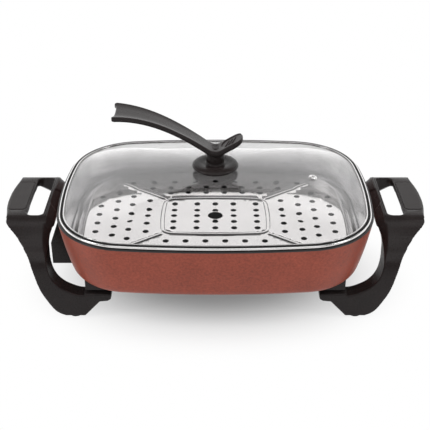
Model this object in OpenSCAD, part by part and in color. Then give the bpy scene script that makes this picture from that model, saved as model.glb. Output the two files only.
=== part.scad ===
// Electric hot pot: a bowed rectangular pan on two leg-and-handle frames,
// with a flat steam rack inside and a lift-off glass lid that has a stand arm for a knob.
// Millimetres, +Z up, +X along the pan, origin on the table under the pan's centre.

/* [Rim] */
// Length of the rim line, which the pan, the lid and the rack follow
rim_len = 392; // [360:1:430]
// Width of the rim line
rim_wid = 295; // [275:1:330]
// Radius of the two bowed long sides
long_side_r = 1228; // [900:1:1800]
// Radius of the two bowed short sides
short_side_r = 587; // [450:1:900]
// Radius of the four corners
corner_r = 86; // [80:1:100]
// Height of the rim line over the table
rim_height = 134; // [126:1:150]

/* [Pan] */
// Depth of the pan's underside below the rim line
pan_depth = 80; // [74:1:88]
// How far the wall stands outside the rim line at its top
pan_flare = 6; // [5:0.1:8]
// Slope of the wall from the vertical, in degrees
pan_draft = 9.5; // [7:0.1:11]
// Extra inward bow of the wall near its foot
pan_bow = 5; // [3:0.1:7]
// Height of the rounded edge round the underside
pan_round = 12; // [9:0.1:14]
// Thickness of the wall
pan_wall = 3.2; // [2.6:0.1:3.8]
// Thickness of the floor
pan_floor = 5; // [4.6:0.1:6]
// Radius inside, between the lower wall and the floor
pan_fillet = 12; // [6:0.5:16]
// Width of the ledge that carries the steam rack
ledge_wid = 5; // [4:0.1:6]
// Depth of that ledge below the rim line
ledge_depth = 50; // [46:0.5:54]
// Width of the thick lip round the mouth
lip_wid = 4.5; // [4.2:0.1:4.8]
// Height of that lip
lip_tall = 5; // [4:0.1:7]
// Diameter of the four bushes for the legs' screws
leg_bush_d = 9; // [8:0.1:10]
// Height of those bushes
leg_bush_tall = 8; // [6:0.5:9]

/* [Steam rack] */
// Thickness of the rack's sheet
rack_t = 1; // [0.8:0.1:1.4]
// Height of the rack's field over its flange
rack_rise = 6.5; // [5:0.5:8]
// Width of the flange round the field
rack_flange = 9; // [8:0.5:11]
// Width of the sloping shoulder between flange and field
rack_shoulder = 7; // [5:0.5:9]
// Diameter of the steam holes
steam_hole_d = 8; // [6:0.5:9]
// Diameter of the large hole in the middle
middle_hole_d = 20; // [16:0.5:21]
// Height of the pressed ribs
rack_rib_tall = 1.3; // [0.8:0.1:2]
// Width of the pressed ribs
rack_rib_wid = 3; // [2:0.1:4]
// Length of the rack's centre panel
panel_len = 134; // [128:1:140]
// Width of the rack's centre panel
panel_wid = 92; // [88:1:100]

/* [Glass lid] */
// Height of the dome's top over the rim line
dome_tall = 28; // [24:0.5:34]
// Height of the glass at the rim's inner edge, over the rim line
glass_edge_z = 0; // [-0.5:0.1:0.6]
// Thickness of the glass
glass_t = 3.5; // [3:0.1:4]
// Width of the metal rim that shows outside the rim line
lid_rim_out = 3; // [2.6:0.1:3.6]
// Width of the metal rim that shows inside the rim line
lid_rim_in = 3.8; // [3.2:0.1:5]
// Thickness of the metal rim's sheet
lid_sheet = 0.9; // [0.7:0.1:1.2]
// Height of the metal rim's outer edge
lid_rim_tall = 3.4; // [3:0.1:4]
// Distance of the steam vent from the lid's centre
vent_x = 127; // [110:1:140]
// Diameter of the vent's way through
vent_d = 4; // [3:0.1:5]
// Diameter of the vent eyelet's flanges
vent_flange_d = 11; // [9:0.5:13]

/* [Knob with stand arm] */
// Diameter of the knob's foot
knob_d = 60; // [52:1:66]
// Height of the knob's foot
knob_tall = 11; // [9:0.5:14]
// Diameter of the neck
neck_d = 24; // [20:0.5:28]
// Height of the neck between the foot and the arm
neck_tall = 8; // [6:0.5:11]
// How far the arm reaches from the lid's centre
arm_reach = 128; // [100:1:140]
// How high the arm's tip is over its bend
arm_climb = 56; // [48:1:66]
// How far the short tail reaches on the other side
tail_reach = 35; // [28:1:40]
// How high the tail climbs
tail_climb = 21; // [17:1:26]
// Thickness of the arm
arm_t = 7; // [6:0.5:9]
// Width of the arm at its bend
arm_wid = 27; // [25:0.5:30]
// Width of the arm at its tip
arm_tip_wid = 48; // [40:0.5:54]
// Depth of the notch in the arm's tip
tip_notch = 5; // [3:0.5:8]
// Diameter of the knob's bolt
knob_bolt_d = 6; // [5:0.1:8]
// Diameter of the round cap over the bend
cap_d = 11; // [9:0.5:13]

/* [Frames] */
// Gap between the rim line and the frame's inner bar
frame_gap = 9; // [8.5:0.5:14]
// Width of the handle, across its slot, from bar to bar
handle_deep = 66; // [62:0.5:76]
// Length of the handle along Y
handle_wid = 125; // [121:1:134]
// Thickness of the handle
handle_t = 8; // [7:0.5:10]
// Depth of the handle's top below the rim line
handle_drop = 11; // [9:0.5:15]
// Radius of the handle's bowed outer edge
handle_bow_r = 200; // [170:1:400]
// Width of the finger slot
slot_wid = 23; // [20:0.5:25]
// Length of the finger slot
slot_len = 100; // [90:1:104]
// Radius of the finger slot's corners
slot_corner = 8; // [6:0.5:10]
// Width of the inner bar, between the slot and the pan
inner_bar = 13; // [12.5:0.5:14]
// Height of the inner bar
bar_tall = 14; // [12:0.5:17]
// Distance of the feet from the pan's middle line, along Y
leg_y = 91; // [86:0.5:93]
// Width of a leg at its foot
leg_wid = 22; // [20:0.5:25]
// Height of the posts between the legs' arms and the pan
post_tall = 12; // [11:0.5:14]
// Thickness of the legs' arms
arm_beam = 17; // [14:0.5:20]
// Length of the posts
post_len = 33; // [28:0.5:36]
// Distance of the posts' outer ends from the end of the rim line
post_inset = 31; // [29:0.5:33]
// Distance of the legs' screws from the end of the rim line
screw_inset = 54; // [52:0.5:56]
// Diameter of the legs' screws
leg_screw_d = 4; // [3.5:0.1:4.4]
// Depth of the recesses for the heads of the legs' screws
screw_recess = 5; // [4:0.5:6]
// Distance of the feet's middles from the end of the rim line
foot_inset = 16; // [15:0.5:18]
// Length of a foot
foot_len = 25; // [22:0.5:28]
// Height of the rubber pads that the feet stand on
pad_tall = 2; // [1.5:0.1:3]
// Diameter of those pads
pad_d = 17; // [14:0.5:19]
// Thickness of the grip panels in the handles
grip_t = 2; // [1.5:0.1:3]
// Length of the grip panels
grip_len = 74; // [64:1:80]

/* [Heater and inlet] */
// Diameter of the tubular heating element
element_d = 8; // [7:0.1:9]
// Width of the element's loop
element_wid = 140; // [130:1:146]
// Length of the element's loop
element_len = 260; // [236:1:270]
// Distance of each terminal pin from the middle
pin_y = 14; // [13:0.5:16]
// Diameter of the terminal pins
pin_d = 6; // [5:0.1:6.4]
// Length of the terminal pins outside their bushes
pin_len = 12; // [10:0.5:13]
// Outer diameter of the probe's sleeve
probe_d = 9; // [8:0.1:10]
// Bore of the probe's sleeve
probe_bore = 6.4; // [5.5:0.1:7]
// Length of the probe's sleeve
probe_len = 66; // [56:1:74]
// Width of the inlet hood
hood_wid = 68; // [64:1:76]
// Height of the inlet hood
hood_tall = 32; // [30:0.5:36]
// How far the hood stands out past the rim line
hood_out = 20; // [18:0.5:21]
// Depth of the hood's floor below the pan's underside
hood_drop = 15; // [13:0.5:17]
// How far the hood reaches in under the pan, past the rim line
hood_in = 20; // [18:0.5:22]
// Thickness of the hood's walls
hood_wall = 2.5; // [2:0.1:3]
// Diameter of the hood's screws
hood_screw_d = 3; // [2.5:0.1:3.5]
// Distance of the hood's screws from the end of the rim line
hood_screw_inset = 32; // [31:0.5:34]
// Height of the bushes for the hood's screws
hood_bush_tall = 4; // [3.5:0.1:5]
// Width of the ears that the hood is screwed on by
hood_ear_wid = 12; // [11:0.5:13]
// Thickness of those ears
hood_ear_t = 3; // [2.5:0.1:4]

/* [Clearances] */
// Gap between pieces that come apart
lift_gap = 0.3; // [0.25:0.05:0.5]
// Gap between pieces that are screwed or set together
seat_gap = 0.15; // [0.1:0.05:0.25]
// Gap round a screw's shank in a clearance hole
screw_gap = 0.2; // [0.1:0.05:0.4]
// Sideways play of the lid in the pan's mouth
lid_play = 0.8; // [0.6:0.05:1]
// Sideways play of the steam rack on its ledge
rack_play = 1.5; // [1:0.1:2]

/* [Hidden] */
$fn = 64;

steel = "#c9cbcc";
black_plastic = "#232121";
half_len = rim_len/2;
half_wid = rim_wid/2;
rim = [half_len, half_wid, long_side_r, short_side_r, corner_r];
pan_under = rim_height - pan_depth;
floor_top = pan_under + pan_floor;
ledge_z = rim_height - ledge_depth;
lip_top = rim_height - lid_rim_out - lift_gap;
// Points on each side arc's half; a corner has twice as many
outline_steps = 4;

// Bowed rectangles: [half length, half width, long-side radius, short-side radius, corner radius].
// A corner's centre lies where two circles about the side arcs' centres meet.
function bow_corner(s) =
    let (p = s[2] - s[1], q = s[3] - s[0], d = norm([p, q]), ra = s[2] - s[4], rb = s[3] - s[4])
    let (along = (ra*ra - rb*rb + d*d)/(2*d), off = sqrt(ra*ra - along*along))
    [(off*p - along*q)/d, (along*p + off*q)/d - p];
function long_half(s) = let (c = bow_corner(s)) atan2(c[0], c[1] + s[2] - s[1]);
function short_half(s) = let (c = bow_corner(s)) atan2(c[1], c[0] + s[3] - s[0]);
function on_arc(centre, r, angle) = centre + r*[cos(angle), sin(angle)];

// Points of a bowed rectangle's first quarter, drawn in by an inset
function bow_quarter(s, inset, n) =
    let (a = short_half(s), b = 90 - long_half(s))
    concat(
        [for (i = [0:n - 1]) on_arc([s[0] - s[3], 0], s[3] - inset, a*i/n)],
        [for (i = [0:2*n - 1]) on_arc(bow_corner(s), s[4] - inset, a + (b - a)*i/(2*n))],
        [for (i = [0:n]) on_arc([0, s[1] - s[2]], s[2] - inset, b + (90 - b)*i/n)]
    );
function bow_points(s, inset, n = outline_steps) =
    let (q = bow_quarter(s, inset, n), m = len(q) - 1)
    concat(
        [for (i = [0:m - 1]) q[i]],
        [for (i = [m:-1:1]) [-q[i][0], q[i][1]]],
        [for (i = [0:m - 1]) -q[i]],
        [for (i = [m:-1:1]) [q[i][0], -q[i][1]]]
    );

// A section [[inset, z], ...] lofted round a bowed rectangle. A closed section makes a ring, and an open one
// makes a vessel or a tray: it runs from the underside up the outside and down the inside, with flat ends.
module bow_loft(s, section, closed) {
    rings = [for (p = section) [for (q = bow_points(s, p[0])) [q[0], q[1], p[1]]]];
    m = len(rings);
    n = len(rings[0]);
    walls = [for (k = [0:closed ? m - 1 : m - 2]) for (i = [0:n - 1])
        let (up = (k + 1)%m*n, low = k*n, j = (i + 1)%n)
        each [[up + i, up + j, low + j], [up + i, low + j, low + i]]];
    ends = [[for (i = [0:n - 1]) i], [for (i = [n - 1:-1:0]) (m - 1)*n + i]];
    polyhedron([for (r = rings) each r], closed ? walls : concat(walls, ends));
}

// Curves: a cubic Bezier, a smooth curve through given points, and a strap of even thickness along a curve
function bezier(p, n) =
    [for (i = [0:n]) let (t = i/n, u = 1 - t)
        u*u*u*p[0] + 3*u*u*t*p[1] + 3*u*t*t*p[2] + t*t*t*p[3]];
function curve_at(p, i, t) =
    let (a = p[max(i - 1, 0)], b = p[i], c = p[i + 1], d = p[min(i + 2, len(p) - 1)])
    0.5*(2*b + (c - a)*t + (2*a - 5*b + 4*c - d)*t*t + (3*b - a - 3*c + d)*t*t*t);
function curve(p, n = 4) =
    concat([for (i = [0:len(p) - 2]) for (j = [0:n - 1]) curve_at(p, i, j/n)], [p[len(p) - 1]]);
function flip(list) = [for (i = [len(list) - 1:-1:0]) list[i]];
function side_step(p, i, off) =
    let (d = p[min(i + 1, len(p) - 1)] - p[max(i - 1, 0)], u = d/norm(d)) p[i] + off*[-u[1], u[0]];
function strap(p, t) =
    concat([for (i = [0:len(p) - 1]) side_step(p, i, t/2)],
           [for (i = [len(p) - 1:-1:0]) side_step(p, i, -t/2)]);
function round_rect(w, h, r, n = 6) =
    [for (k = [0:3]) for (i = [0:n])
        on_arc([(k == 0 || k == 3 ? 1 : -1)*(w/2 - r), (k < 2 ? 1 : -1)*(h/2 - r)], r, 90*k + 90*i/n)];

module both_sides() {
    children();
    mirror([1, 0, 0]) children();
}
module four_corners() {
    both_sides() {
        children();
        mirror([0, 1, 0]) children();
    }
}
// An outline in X and Z drawn through the width w, and one in Y and Z drawn along X from x0 by w
module across(outline, w) {
    translate([0, w/2, 0]) rotate([90, 0, 0]) linear_extrude(w) polygon(outline);
}
module along(outline, x0, w) {
    translate([x0, 0, 0]) rotate([90, 0, 90]) linear_extrude(w) polygon(outline);
}
module rod_x(d, x0, x1) {
    translate([x0, 0, 0]) rotate([0, 90, 0]) cylinder(d = d, h = x1 - x0);
}

// The pan's outer wall, by depth below the rim line, ends in a round that runs flat into the underside
function wall_inset(d) = tan(pan_draft)*d + pan_bow*pow(d/pan_depth, 3) - pan_flare;
round_depth = pan_depth - pan_round;
round_angle = atan(tan(pan_draft) + 3*pan_bow*pow(round_depth/pan_depth, 2)/pan_depth);
round_r = pan_round/(1 - sin(round_angle));
round_in = wall_inset(round_depth) + round_r*cos(round_angle);
lip_depth = rim_height - lip_top;
outer_wall = concat(
    [for (i = [0:6]) let (d = lip_depth + (round_depth - lip_depth)*i/6) [wall_inset(d), rim_height - d]],
    [for (i = [1:6]) let (a = round_angle + (90 - round_angle)*i/6)
        [round_in - round_r*cos(a), rim_height - round_depth - round_r*(sin(a) - sin(round_angle))]]
);
ledge_out = wall_inset(ledge_depth) + pan_wall;
ledge_in = ledge_out + ledge_wid;
lip_in = wall_inset(lip_depth) + lip_wid;
lip_under = lip_depth + lip_tall;
lower_in = ledge_in + tan(pan_draft)*(ledge_z - floor_top - pan_fillet);
inner_wall = concat(
    [for (i = [0:5]) on_arc([lower_in + pan_fillet, floor_top + pan_fillet], pan_fillet, 270 - 18*i)],
    [[ledge_in, ledge_z], [ledge_out, ledge_z]],
    [for (i = [3:-1:0]) let (d = lip_under + (ledge_depth - lip_under)*i/4)
        [wall_inset(d) + pan_wall, rim_height - d]],
    [[lip_in, rim_height - lip_under], [lip_in, lip_top]]
);

// The space that the pan takes up, grown by a gap, round one corner or along one short side
function pan_space(r, gap) = concat(
    [[0, rim_height], [0, pan_under - gap]],
    [for (p = flip(outer_wall)) [r - p[0] + gap, p[1] - gap]],
    [[r + pan_flare + gap, rim_height]]
);
module pan_corner_space(gap) {
    translate(bow_corner(rim)) rotate_extrude() polygon(pan_space(corner_r, gap));
}
module pan_left_space(gap) {
    translate([short_side_r - half_len, 0, 0]) rotate_extrude() polygon(pan_space(short_side_r, gap));
}

// Stand: heights of the frames' parts, and places of the legs' posts, screws and feet
handle_top = rim_height - handle_drop;
handle_under = handle_top - handle_t;
beam_top = pan_under - post_tall;
beam_under = beam_top - arm_beam;
post_margin = 1;
beam_flat = post_margin - post_inset;
beam_end = -post_inset - post_len;
post_far = half_len - post_inset;
post_near = post_far - post_len;
screw_x = half_len - screw_inset;
foot_x = half_len - foot_inset;
frame_in = half_len + frame_gap;
frame_out = frame_in + handle_deep;
slot_x = frame_in + inner_bar + slot_wid/2;
screw_head_d = 2*leg_screw_d;
screw_head_t = 0.7*leg_screw_d;

// Heater: the element hangs under the floor, and its ends run out to the left into the hood
element_z = pan_under - element_d/2 - seat_gap;
element_bend = 20;
element_end_x = half_len - 4;
loop_turn_x = half_len - 46;
hood_mouth_x = half_len + hood_out;
hood_floor = pan_under - hood_drop;
hood_screw_x = half_len - hood_screw_inset;
hood_screw_y = (hood_wid - hood_ear_wid)/2;
plate_x = half_len - 10;
plate_t = 4;
bush_len = 5;
pin_root_d = pin_d - 2;
ear_top = pan_under - hood_bush_tall - seat_gap;

module pan() {
    color("#86483c") bow_loft(rim, concat(flip(outer_wall), flip(inner_wall)), false);
}

// Threaded bushes welded under the pan, four for the legs and two for the hood
module pan_bushes() {
    color("#a7a9ab") {
        four_corners() translate([screw_x, leg_y, 0]) bush(leg_bush_d, leg_bush_tall, leg_screw_d);
        for (side = [-1, 1]) translate([-hood_screw_x, side*hood_screw_y, 0])
            bush(2*hood_screw_d + 1, hood_bush_tall, hood_screw_d);
    }
}
module bush(d, tall, screw_d) {
    translate([0, 0, pan_under - tall]) difference() {
        cylinder(d = d, h = tall);
        translate([0, 0, -1]) cylinder(d = screw_d + screw_gap, h = tall);
    }
}

// One half of the element's loop, from its end on the left to the middle of the right side
module element_half() {
    y = element_wid/2;
    far = element_len/2;
    turn_x = far - element_bend;
    big_bend = 2*element_bend;
    translate([0, pin_y, 0]) rod_x(element_d, -element_end_x, -loop_turn_x);
    translate([-loop_turn_x, pin_y + element_bend, 0]) element_turn(element_bend, 270);
    translate([-loop_turn_x + element_bend, pin_y + element_bend, 0]) rotate([-90, 0, 0])
        cylinder(d = element_d, h = y - pin_y - 2*element_bend);
    translate([-loop_turn_x + 2*element_bend, y - element_bend, 0]) element_turn(element_bend, 90);
    translate([0, y, 0]) rod_x(element_d, -loop_turn_x + 2*element_bend, far - big_bend);
    translate([far - big_bend, y - big_bend, 0]) element_turn(big_bend, 0);
    translate([far, 0, 0]) rotate([-90, 0, 0]) cylinder(d = element_d, h = y - big_bend);
}
module element_turn(r, start) {
    rotate_extrude(angle = 90, start = start) translate([r, 0]) circle(d = element_d);
}
module heating_element() {
    color("#8d8f91") translate([0, 0, element_z]) {
        element_half();
        mirror([0, 1, 0]) element_half();
    }
}

// Sheet saddles that hold the element against the pan's underside
module element_clips() {
    clip_len = 12;
    clip_t = 1.2;
    clip_wid = element_d + 18;
    color(steel) four_corners() translate([element_len/6, element_wid/2, element_z]) difference() {
        union() {
            rod_x(element_d + 2*(seat_gap + clip_t), 0, clip_len);
            translate([0, -clip_wid/2, element_d/2 - clip_t]) cube([clip_len, clip_wid, clip_t]);
        }
        rod_x(element_d + 2*seat_gap, -1, clip_len + 1);
        translate([-1, -clip_wid, element_d/2]) cube([clip_len + 2, 2*clip_wid, element_d]);
    }
}

// Left side: the hood round the pins is open to the left for a plug and to the right for the element
module terminal_pins() {
    tip = 1;
    color("#b9a77e") for (side = [-1, 1]) translate([-element_end_x, side*pin_y, element_z])
        rotate([0, -90, 0]) {
            cylinder(d = pin_root_d, h = bush_len);
            translate([0, 0, bush_len]) cylinder(d = pin_d, h = pin_len);
            translate([0, 0, bush_len + pin_len]) cylinder(d1 = pin_d, d2 = pin_d - 2*tip, h = tip);
        }
}
module terminal_bushes() {
    color("#e9e4d8") for (side = [-1, 1]) translate([-element_end_x, side*pin_y, element_z])
        rotate([0, -90, 0]) difference() {
            cylinder(d = element_d, h = bush_len);
            translate([0, 0, -1]) cylinder(d = pin_root_d + 2*seat_gap, h = bush_len + 2);
        }
}
module probe_sleeve() {
    color(steel) translate([0, 0, element_z - (probe_d - element_d)/2]) difference() {
        rod_x(probe_d, -element_end_x - bush_len, probe_len - element_end_x - bush_len);
        rod_x(probe_bore, -element_end_x - bush_len - 1, probe_len - element_end_x - bush_len - 3);
    }
}
module terminal_plate() {
    inner_wid = hood_wid - 2*hood_wall - 2*seat_gap;
    low = hood_floor + hood_wall + seat_gap;
    color("#3a3532") difference() {
        translate([-plate_x, -inner_wid/2, low]) cube([plate_t, inner_wid, pan_under + 1 - low]);
        translate([0, 0, element_z]) {
            for (side = [-1, 1]) translate([0, side*pin_y, 0])
                rod_x(element_d + 2*seat_gap, -plate_x - 1, plate_t - plate_x + 1);
            translate([0, 0, -(probe_d - element_d)/2])
                rod_x(probe_d + 2*seat_gap, -plate_x - 1, plate_t - plate_x + 1);
        }
    }
}
module inlet_hood() {
    back_x = half_len - hood_in;
    deep = hood_mouth_x - back_x;
    ear_lap = 4;
    ear_past = 8;
    ear_len = back_x + ear_lap - hood_screw_x + ear_past;
    ear_y = hood_wid/2 - hood_ear_wid;
    color(black_plastic) difference() {
        union() {
            difference() {
                translate([-hood_mouth_x, -hood_wid/2, hood_floor]) cube([deep, hood_wid, hood_tall]);
                translate([-hood_mouth_x - 1, hood_wall - hood_wid/2, hood_floor + hood_wall])
                    cube([deep + 2, hood_wid - 2*hood_wall, hood_tall - 2*hood_wall]);
            }
            for (side = [0, 1]) mirror([0, side, 0])
                translate([-back_x - ear_lap, ear_y, ear_top - hood_ear_t])
                    cube([ear_len, hood_ear_wid, hood_ear_t]);
        }
        pan_left_space(seat_gap);
        for (side = [-1, 1]) translate([-hood_screw_x, side*hood_screw_y, hood_floor - 1])
            cylinder(d = hood_screw_d + 2*screw_gap, h = hood_drop + 2);
    }
}
module inlet_screws() {
    head_z = ear_top - hood_ear_t;
    color(steel) for (side = [-1, 1]) translate([-hood_screw_x, side*hood_screw_y, head_z]) {
        translate([0, 0, -0.6*hood_screw_d]) cylinder(d = 2*hood_screw_d, h = 0.6*hood_screw_d);
        cylinder(d = hood_screw_d, h = hood_ear_t + hood_bush_tall - 1);
    }
}

// Frames. X is counted outwards from the pan's end. The right frame is drawn, and the left mirrors it.
function out(points) = [for (p = points) [half_len + p[0], p[1]]];
// A leg from the front: the outer edge down to the foot, then the arm under the pan and the inner edge up
leg_outer = curve([
    [58, handle_top - 1.5], [63, handle_top - 5], [63.5, handle_top - 9], [60.5, handle_top - 14],
    [55.5, handle_top - 19.5],
    [48.8, handle_top - 27], [42.6, handle_top - 34], [38.6, handle_top - 39], [36, handle_top - 44.5],
    [33.7, handle_top - 52], [31.2, beam_top + 21], [27.5, beam_top + 8], [22.3, beam_top - 6.3],
    [11.3, beam_top - 27], [3.5, pad_tall + 4.5], [-4, pad_tall]
]);
leg_inner = curve([
    [beam_flat, beam_top - 7.5], [beam_flat + 8, beam_top - 6.5], [-13, beam_top - 3.5],
    [-4, beam_top + 1.5], [4, beam_top + 9], [10.5, beam_top + 19],
    [14.2, handle_top - 51], [16.2, handle_top - 40], [18, handle_top - 30], [18.8, handle_top - 20],
    [18, handle_top - 5]
]);
leg_front = out(concat(
    [[18, handle_top], [52, handle_top]], leg_outer,
    [[-4 - foot_len, pad_tall], [beam_end + 15, beam_under - 1], [beam_end + 5, beam_under]],
    [[beam_end, beam_under + 6], [beam_end, beam_top], [beam_flat, beam_top]], leg_inner
));
// The two legs from the side: the handle's end rolls over into a leg, with a wide arch between the two
leg_side = concat(
    curve([
        [handle_wid/2 - 8.5, handle_top], [handle_wid/2 - 3.5, handle_top - 1.5],
        [handle_wid/2, handle_top - 6], [handle_wid/2 + 3, handle_top - 13],
        [leg_y - 20, handle_top - 20], [leg_y - 12, handle_top - 28.5], [leg_y - 3, handle_top - 36],
        [leg_y + leg_wid/2 - 7, handle_top - 45], [leg_y + leg_wid/2 - 2.5, handle_top - 59],
        [leg_y + leg_wid/2, beam_top], [leg_y + leg_wid/2, pad_tall]
    ]),
    curve([
        [leg_y - leg_wid/2, pad_tall], [leg_y - leg_wid/2, beam_top],
        [leg_y - leg_wid/2 - 3, handle_top - 67], [leg_y - 25, handle_top - 45],
        [leg_y - 38, handle_top - 25], [leg_y - 52, handle_top - 13], [leg_y - 66, handle_under + 1]
    ]),
    [[leg_y - 70, handle_top]]
);
// The handle's plate has a rounded edge and an underside that is drawn in
handle_plan = [frame_out - slot_x + slot_wid, handle_wid/2, 10*handle_wid, handle_bow_r, handle_wid/9];
handle_centre = frame_out - handle_plan[0];
plate_edge = [
    [0.7*handle_t, handle_under], [0.2*handle_t, handle_top - 0.75*handle_t], [0, handle_top - 0.5*handle_t],
    [2, handle_top - 1.5], [6, handle_top]
];
bar_section = [
    [frame_in, handle_top - bar_tall], [frame_in + 12.5, handle_top - bar_tall],
    [frame_in + 12.5, handle_top],
    [frame_in + 10, handle_top], [frame_in, handle_top - 6]
];
bar_half = handle_wid/2 - 8;

module grip_outline(grow) {
    slot_margin = 2.5;
    edge_margin = 7;
    intersection() {
        translate([handle_centre, 0]) polygon(bow_points(handle_plan, edge_margin - grow));
        translate([slot_x + slot_wid/2 + slot_margin - grow, -grip_len/2 - grow])
            square([handle_deep, grip_len + 2*grow]);
    }
}
module side_frame() {
    color(black_plastic) difference() {
        union() {
            intersection() {
                across(leg_front, 4*leg_y);
                union() {
                    along(leg_side, 0, 2*rim_len);
                    mirror([0, 1, 0]) along(leg_side, 0, 2*rim_len);
                }
            }
            intersection() {
                translate([handle_centre, 0, 0]) bow_loft(handle_plan, plate_edge, false);
                translate([frame_in + 10, -handle_wid, 0]) cube([handle_deep, 2*handle_wid, rim_height]);
            }
            across(bar_section, 2*bar_half);
        }
        translate([slot_x, 0, beam_top]) linear_extrude(rim_height)
            polygon(round_rect(slot_wid, slot_len, slot_corner));
        translate([0, 0, handle_top - grip_t]) linear_extrude(handle_t) grip_outline(seat_gap);
        for (side = [-1, 1]) translate([0, side*leg_y, 0]) {
            translate([screw_x, 0, 0]) cylinder(d = leg_screw_d + 2*screw_gap, h = rim_height);
            translate([screw_x, 0, 0]) cylinder(d = screw_head_d + 1, h = beam_under + screw_recess);
            translate([foot_x, 0, 0]) cylinder(d = pad_d/2 + 2*seat_gap, h = 3*pad_tall);
        }
    }
}
module left_frame() {
    mirror([1, 0, 0]) side_frame();
}
module right_frame() {
    side_frame();
}
module grip_panel() {
    color("#2d2b2b") translate([0, 0, handle_top - grip_t]) linear_extrude(grip_t) grip_outline(0);
}
module left_grip_panel() {
    mirror([1, 0, 0]) grip_panel();
}
module right_grip_panel() {
    grip_panel();
}

// Posts fill the space between the arms and the pan's rounded edge, and each goes round a bush
module leg_posts() {
    post_wid = leg_wid - 2*post_margin;
    color("#2a2726") four_corners() difference() {
        translate([post_near + post_margin, leg_y - post_wid/2, beam_top])
            cube([post_len - 2*post_margin, post_wid, post_tall + pan_round/2]);
        pan_corner_space(seat_gap);
        translate([screw_x, leg_y, 0]) cylinder(d = leg_bush_d + 2*screw_gap, h = rim_height);
    }
}
module leg_screws() {
    head_z = beam_under + screw_recess;
    tip_gap = 2;
    color(steel) four_corners() translate([screw_x, leg_y, head_z]) {
        translate([0, 0, -screw_head_t]) cylinder(d = screw_head_d, h = screw_head_t);
        cylinder(d = leg_screw_d, h = pan_under - head_z - tip_gap);
    }
}
module foot_pads() {
    color("#1d1d1d") four_corners() translate([foot_x, leg_y, 0]) {
        cylinder(d = pad_d, h = pad_tall);
        cylinder(d = pad_d/2, h = 3*pad_tall - 0.5);
    }
}

// Steam rack: a flange on the pan's ledge, a sloping shoulder and a flat field with pressed ribs and holes
rack_out = ledge_out + rack_play;
rack_low = ledge_z + lift_gap;
rack_field = rack_low + rack_t + rack_rise;
shoulder_out = rack_out + rack_flange;
shoulder_in = shoulder_out + rack_shoulder;
rack_join = shoulder_in + 3;
rack_section = [
    [rack_out, rack_low], [rack_out, rack_low + rack_t], [shoulder_out, rack_low + rack_t],
    [shoulder_in, rack_field], [rack_join, rack_field], [rack_join, rack_field - rack_t],
    [shoulder_in + rack_t/2, rack_field - rack_t], [shoulder_out + rack_t/2, rack_low]
];
panel = [panel_len/2, panel_wid/2, 5*panel_len, 5*panel_wid, 5];
panel_pitch = [panel_len/2 - 12, 24.5];
panel_row = 16.5;
// Columns of holes beside the centre panel: distance from its edge, first hole, pitch and count
side_columns = [[23, -42, 21, 5], [46, -59, 22.4, 6], [66, -50.5, 22.4, 6], [88, -64, 22.6, 6]];
// Rows of holes before and behind it: distance from its edge, pitch, count and bow at the row's ends
strip_rows = [[19, 25.2, 6, 0], [36, 25.2, 8, 4], [53, 29, 9, 9]];

module steam_holes() {
    for (x = [-panel_pitch[0], -panel_pitch[1], 0, panel_pitch[1], panel_pitch[0]])
        for (row = [-2:2])
            if (x != 0 || row != 0) translate([x, row*panel_row]) circle(d = steam_hole_d);
    for (side = [-1, 1]) {
        for (c = side_columns) for (i = [0:c[3] - 1])
            translate([side*(panel_len/2 + c[0]), c[1] + i*c[2]]) circle(d = steam_hole_d);
        for (r = strip_rows) for (i = [0:r[2] - 1]) let (u = 2*i/(r[2] - 1) - 1)
            translate([u*r[1]*(r[2] - 1)/2, side*(panel_wid/2 + r[0] - r[3]*u*u)]) circle(d = steam_hole_d);
    }
    circle(d = middle_hole_d);
}
module steam_rack() {
    rib_len = 70;
    rib_turn = 35;
    color("#d8d9da") difference() {
        union() {
            bow_loft(rim, rack_section, true);
            translate([0, 0, rack_field - rack_t])
                linear_extrude(rack_t) polygon(bow_points(rim, rack_join));
            translate([0, 0, rack_field - rack_t/2]) linear_extrude(rack_t/2 + rack_rib_tall) difference() {
                polygon(bow_points(panel, 0));
                polygon(bow_points(panel, rack_rib_wid));
            }
            translate([0, 0, rack_field - rack_t/2])
                cylinder(d = middle_hole_d + 2*rack_rib_wid, h = rack_t/2 + rack_rib_tall/2);
            four_corners() translate([panel_len/2 + 4, panel_wid/2 + 3, rack_field - rack_t/2])
                rotate(rib_turn) translate([0, -rack_rib_wid/2, 0])
                    cube([rib_len, rack_rib_wid, rack_t/2 + rack_rib_tall]);
        }
        translate([0, 0, rack_low]) linear_extrude(rack_rise + 3*rack_rib_tall + 2) steam_holes();
    }
}

// Lid. The glass follows the scaled outline near the middle and the drawn-in one near the rim.
dome_drop = dome_tall - glass_edge_z;
glass_reach = half_len - lid_rim_in - 24;
edge_slope = 2*dome_drop/glass_reach;
// Thickness of the glass measured straight down
glass_drop = glass_t*sqrt(1 + edge_slope*edge_slope);
groove = lip_in + lid_play + lid_sheet;
glass_edge = groove + lift_gap;
glass_last = 1 + (lid_rim_in - glass_edge)/glass_reach;
function smooth(t) = let (u = min(max((t - 0.55)/0.4, 0), 1)) u*u*(3 - 2*u);
function glass_ring(t) =
    let (w = smooth(t), near = bow_points(rim, lid_rim_in))
    let (edge = bow_points(rim, lid_rim_in + (1 - min(max(t, 0.55), 2))*glass_reach))
    [for (i = [0:len(near) - 1]) (1 - w)*t*near[i] + w*edge[i]];
function glass_z(t) = rim_height + dome_tall - dome_drop*t*t;
glass_steps = [0.1, 0.22, 0.35, 0.48, 0.6, 0.7, 0.8, 0.9, 1, glass_last];
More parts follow.
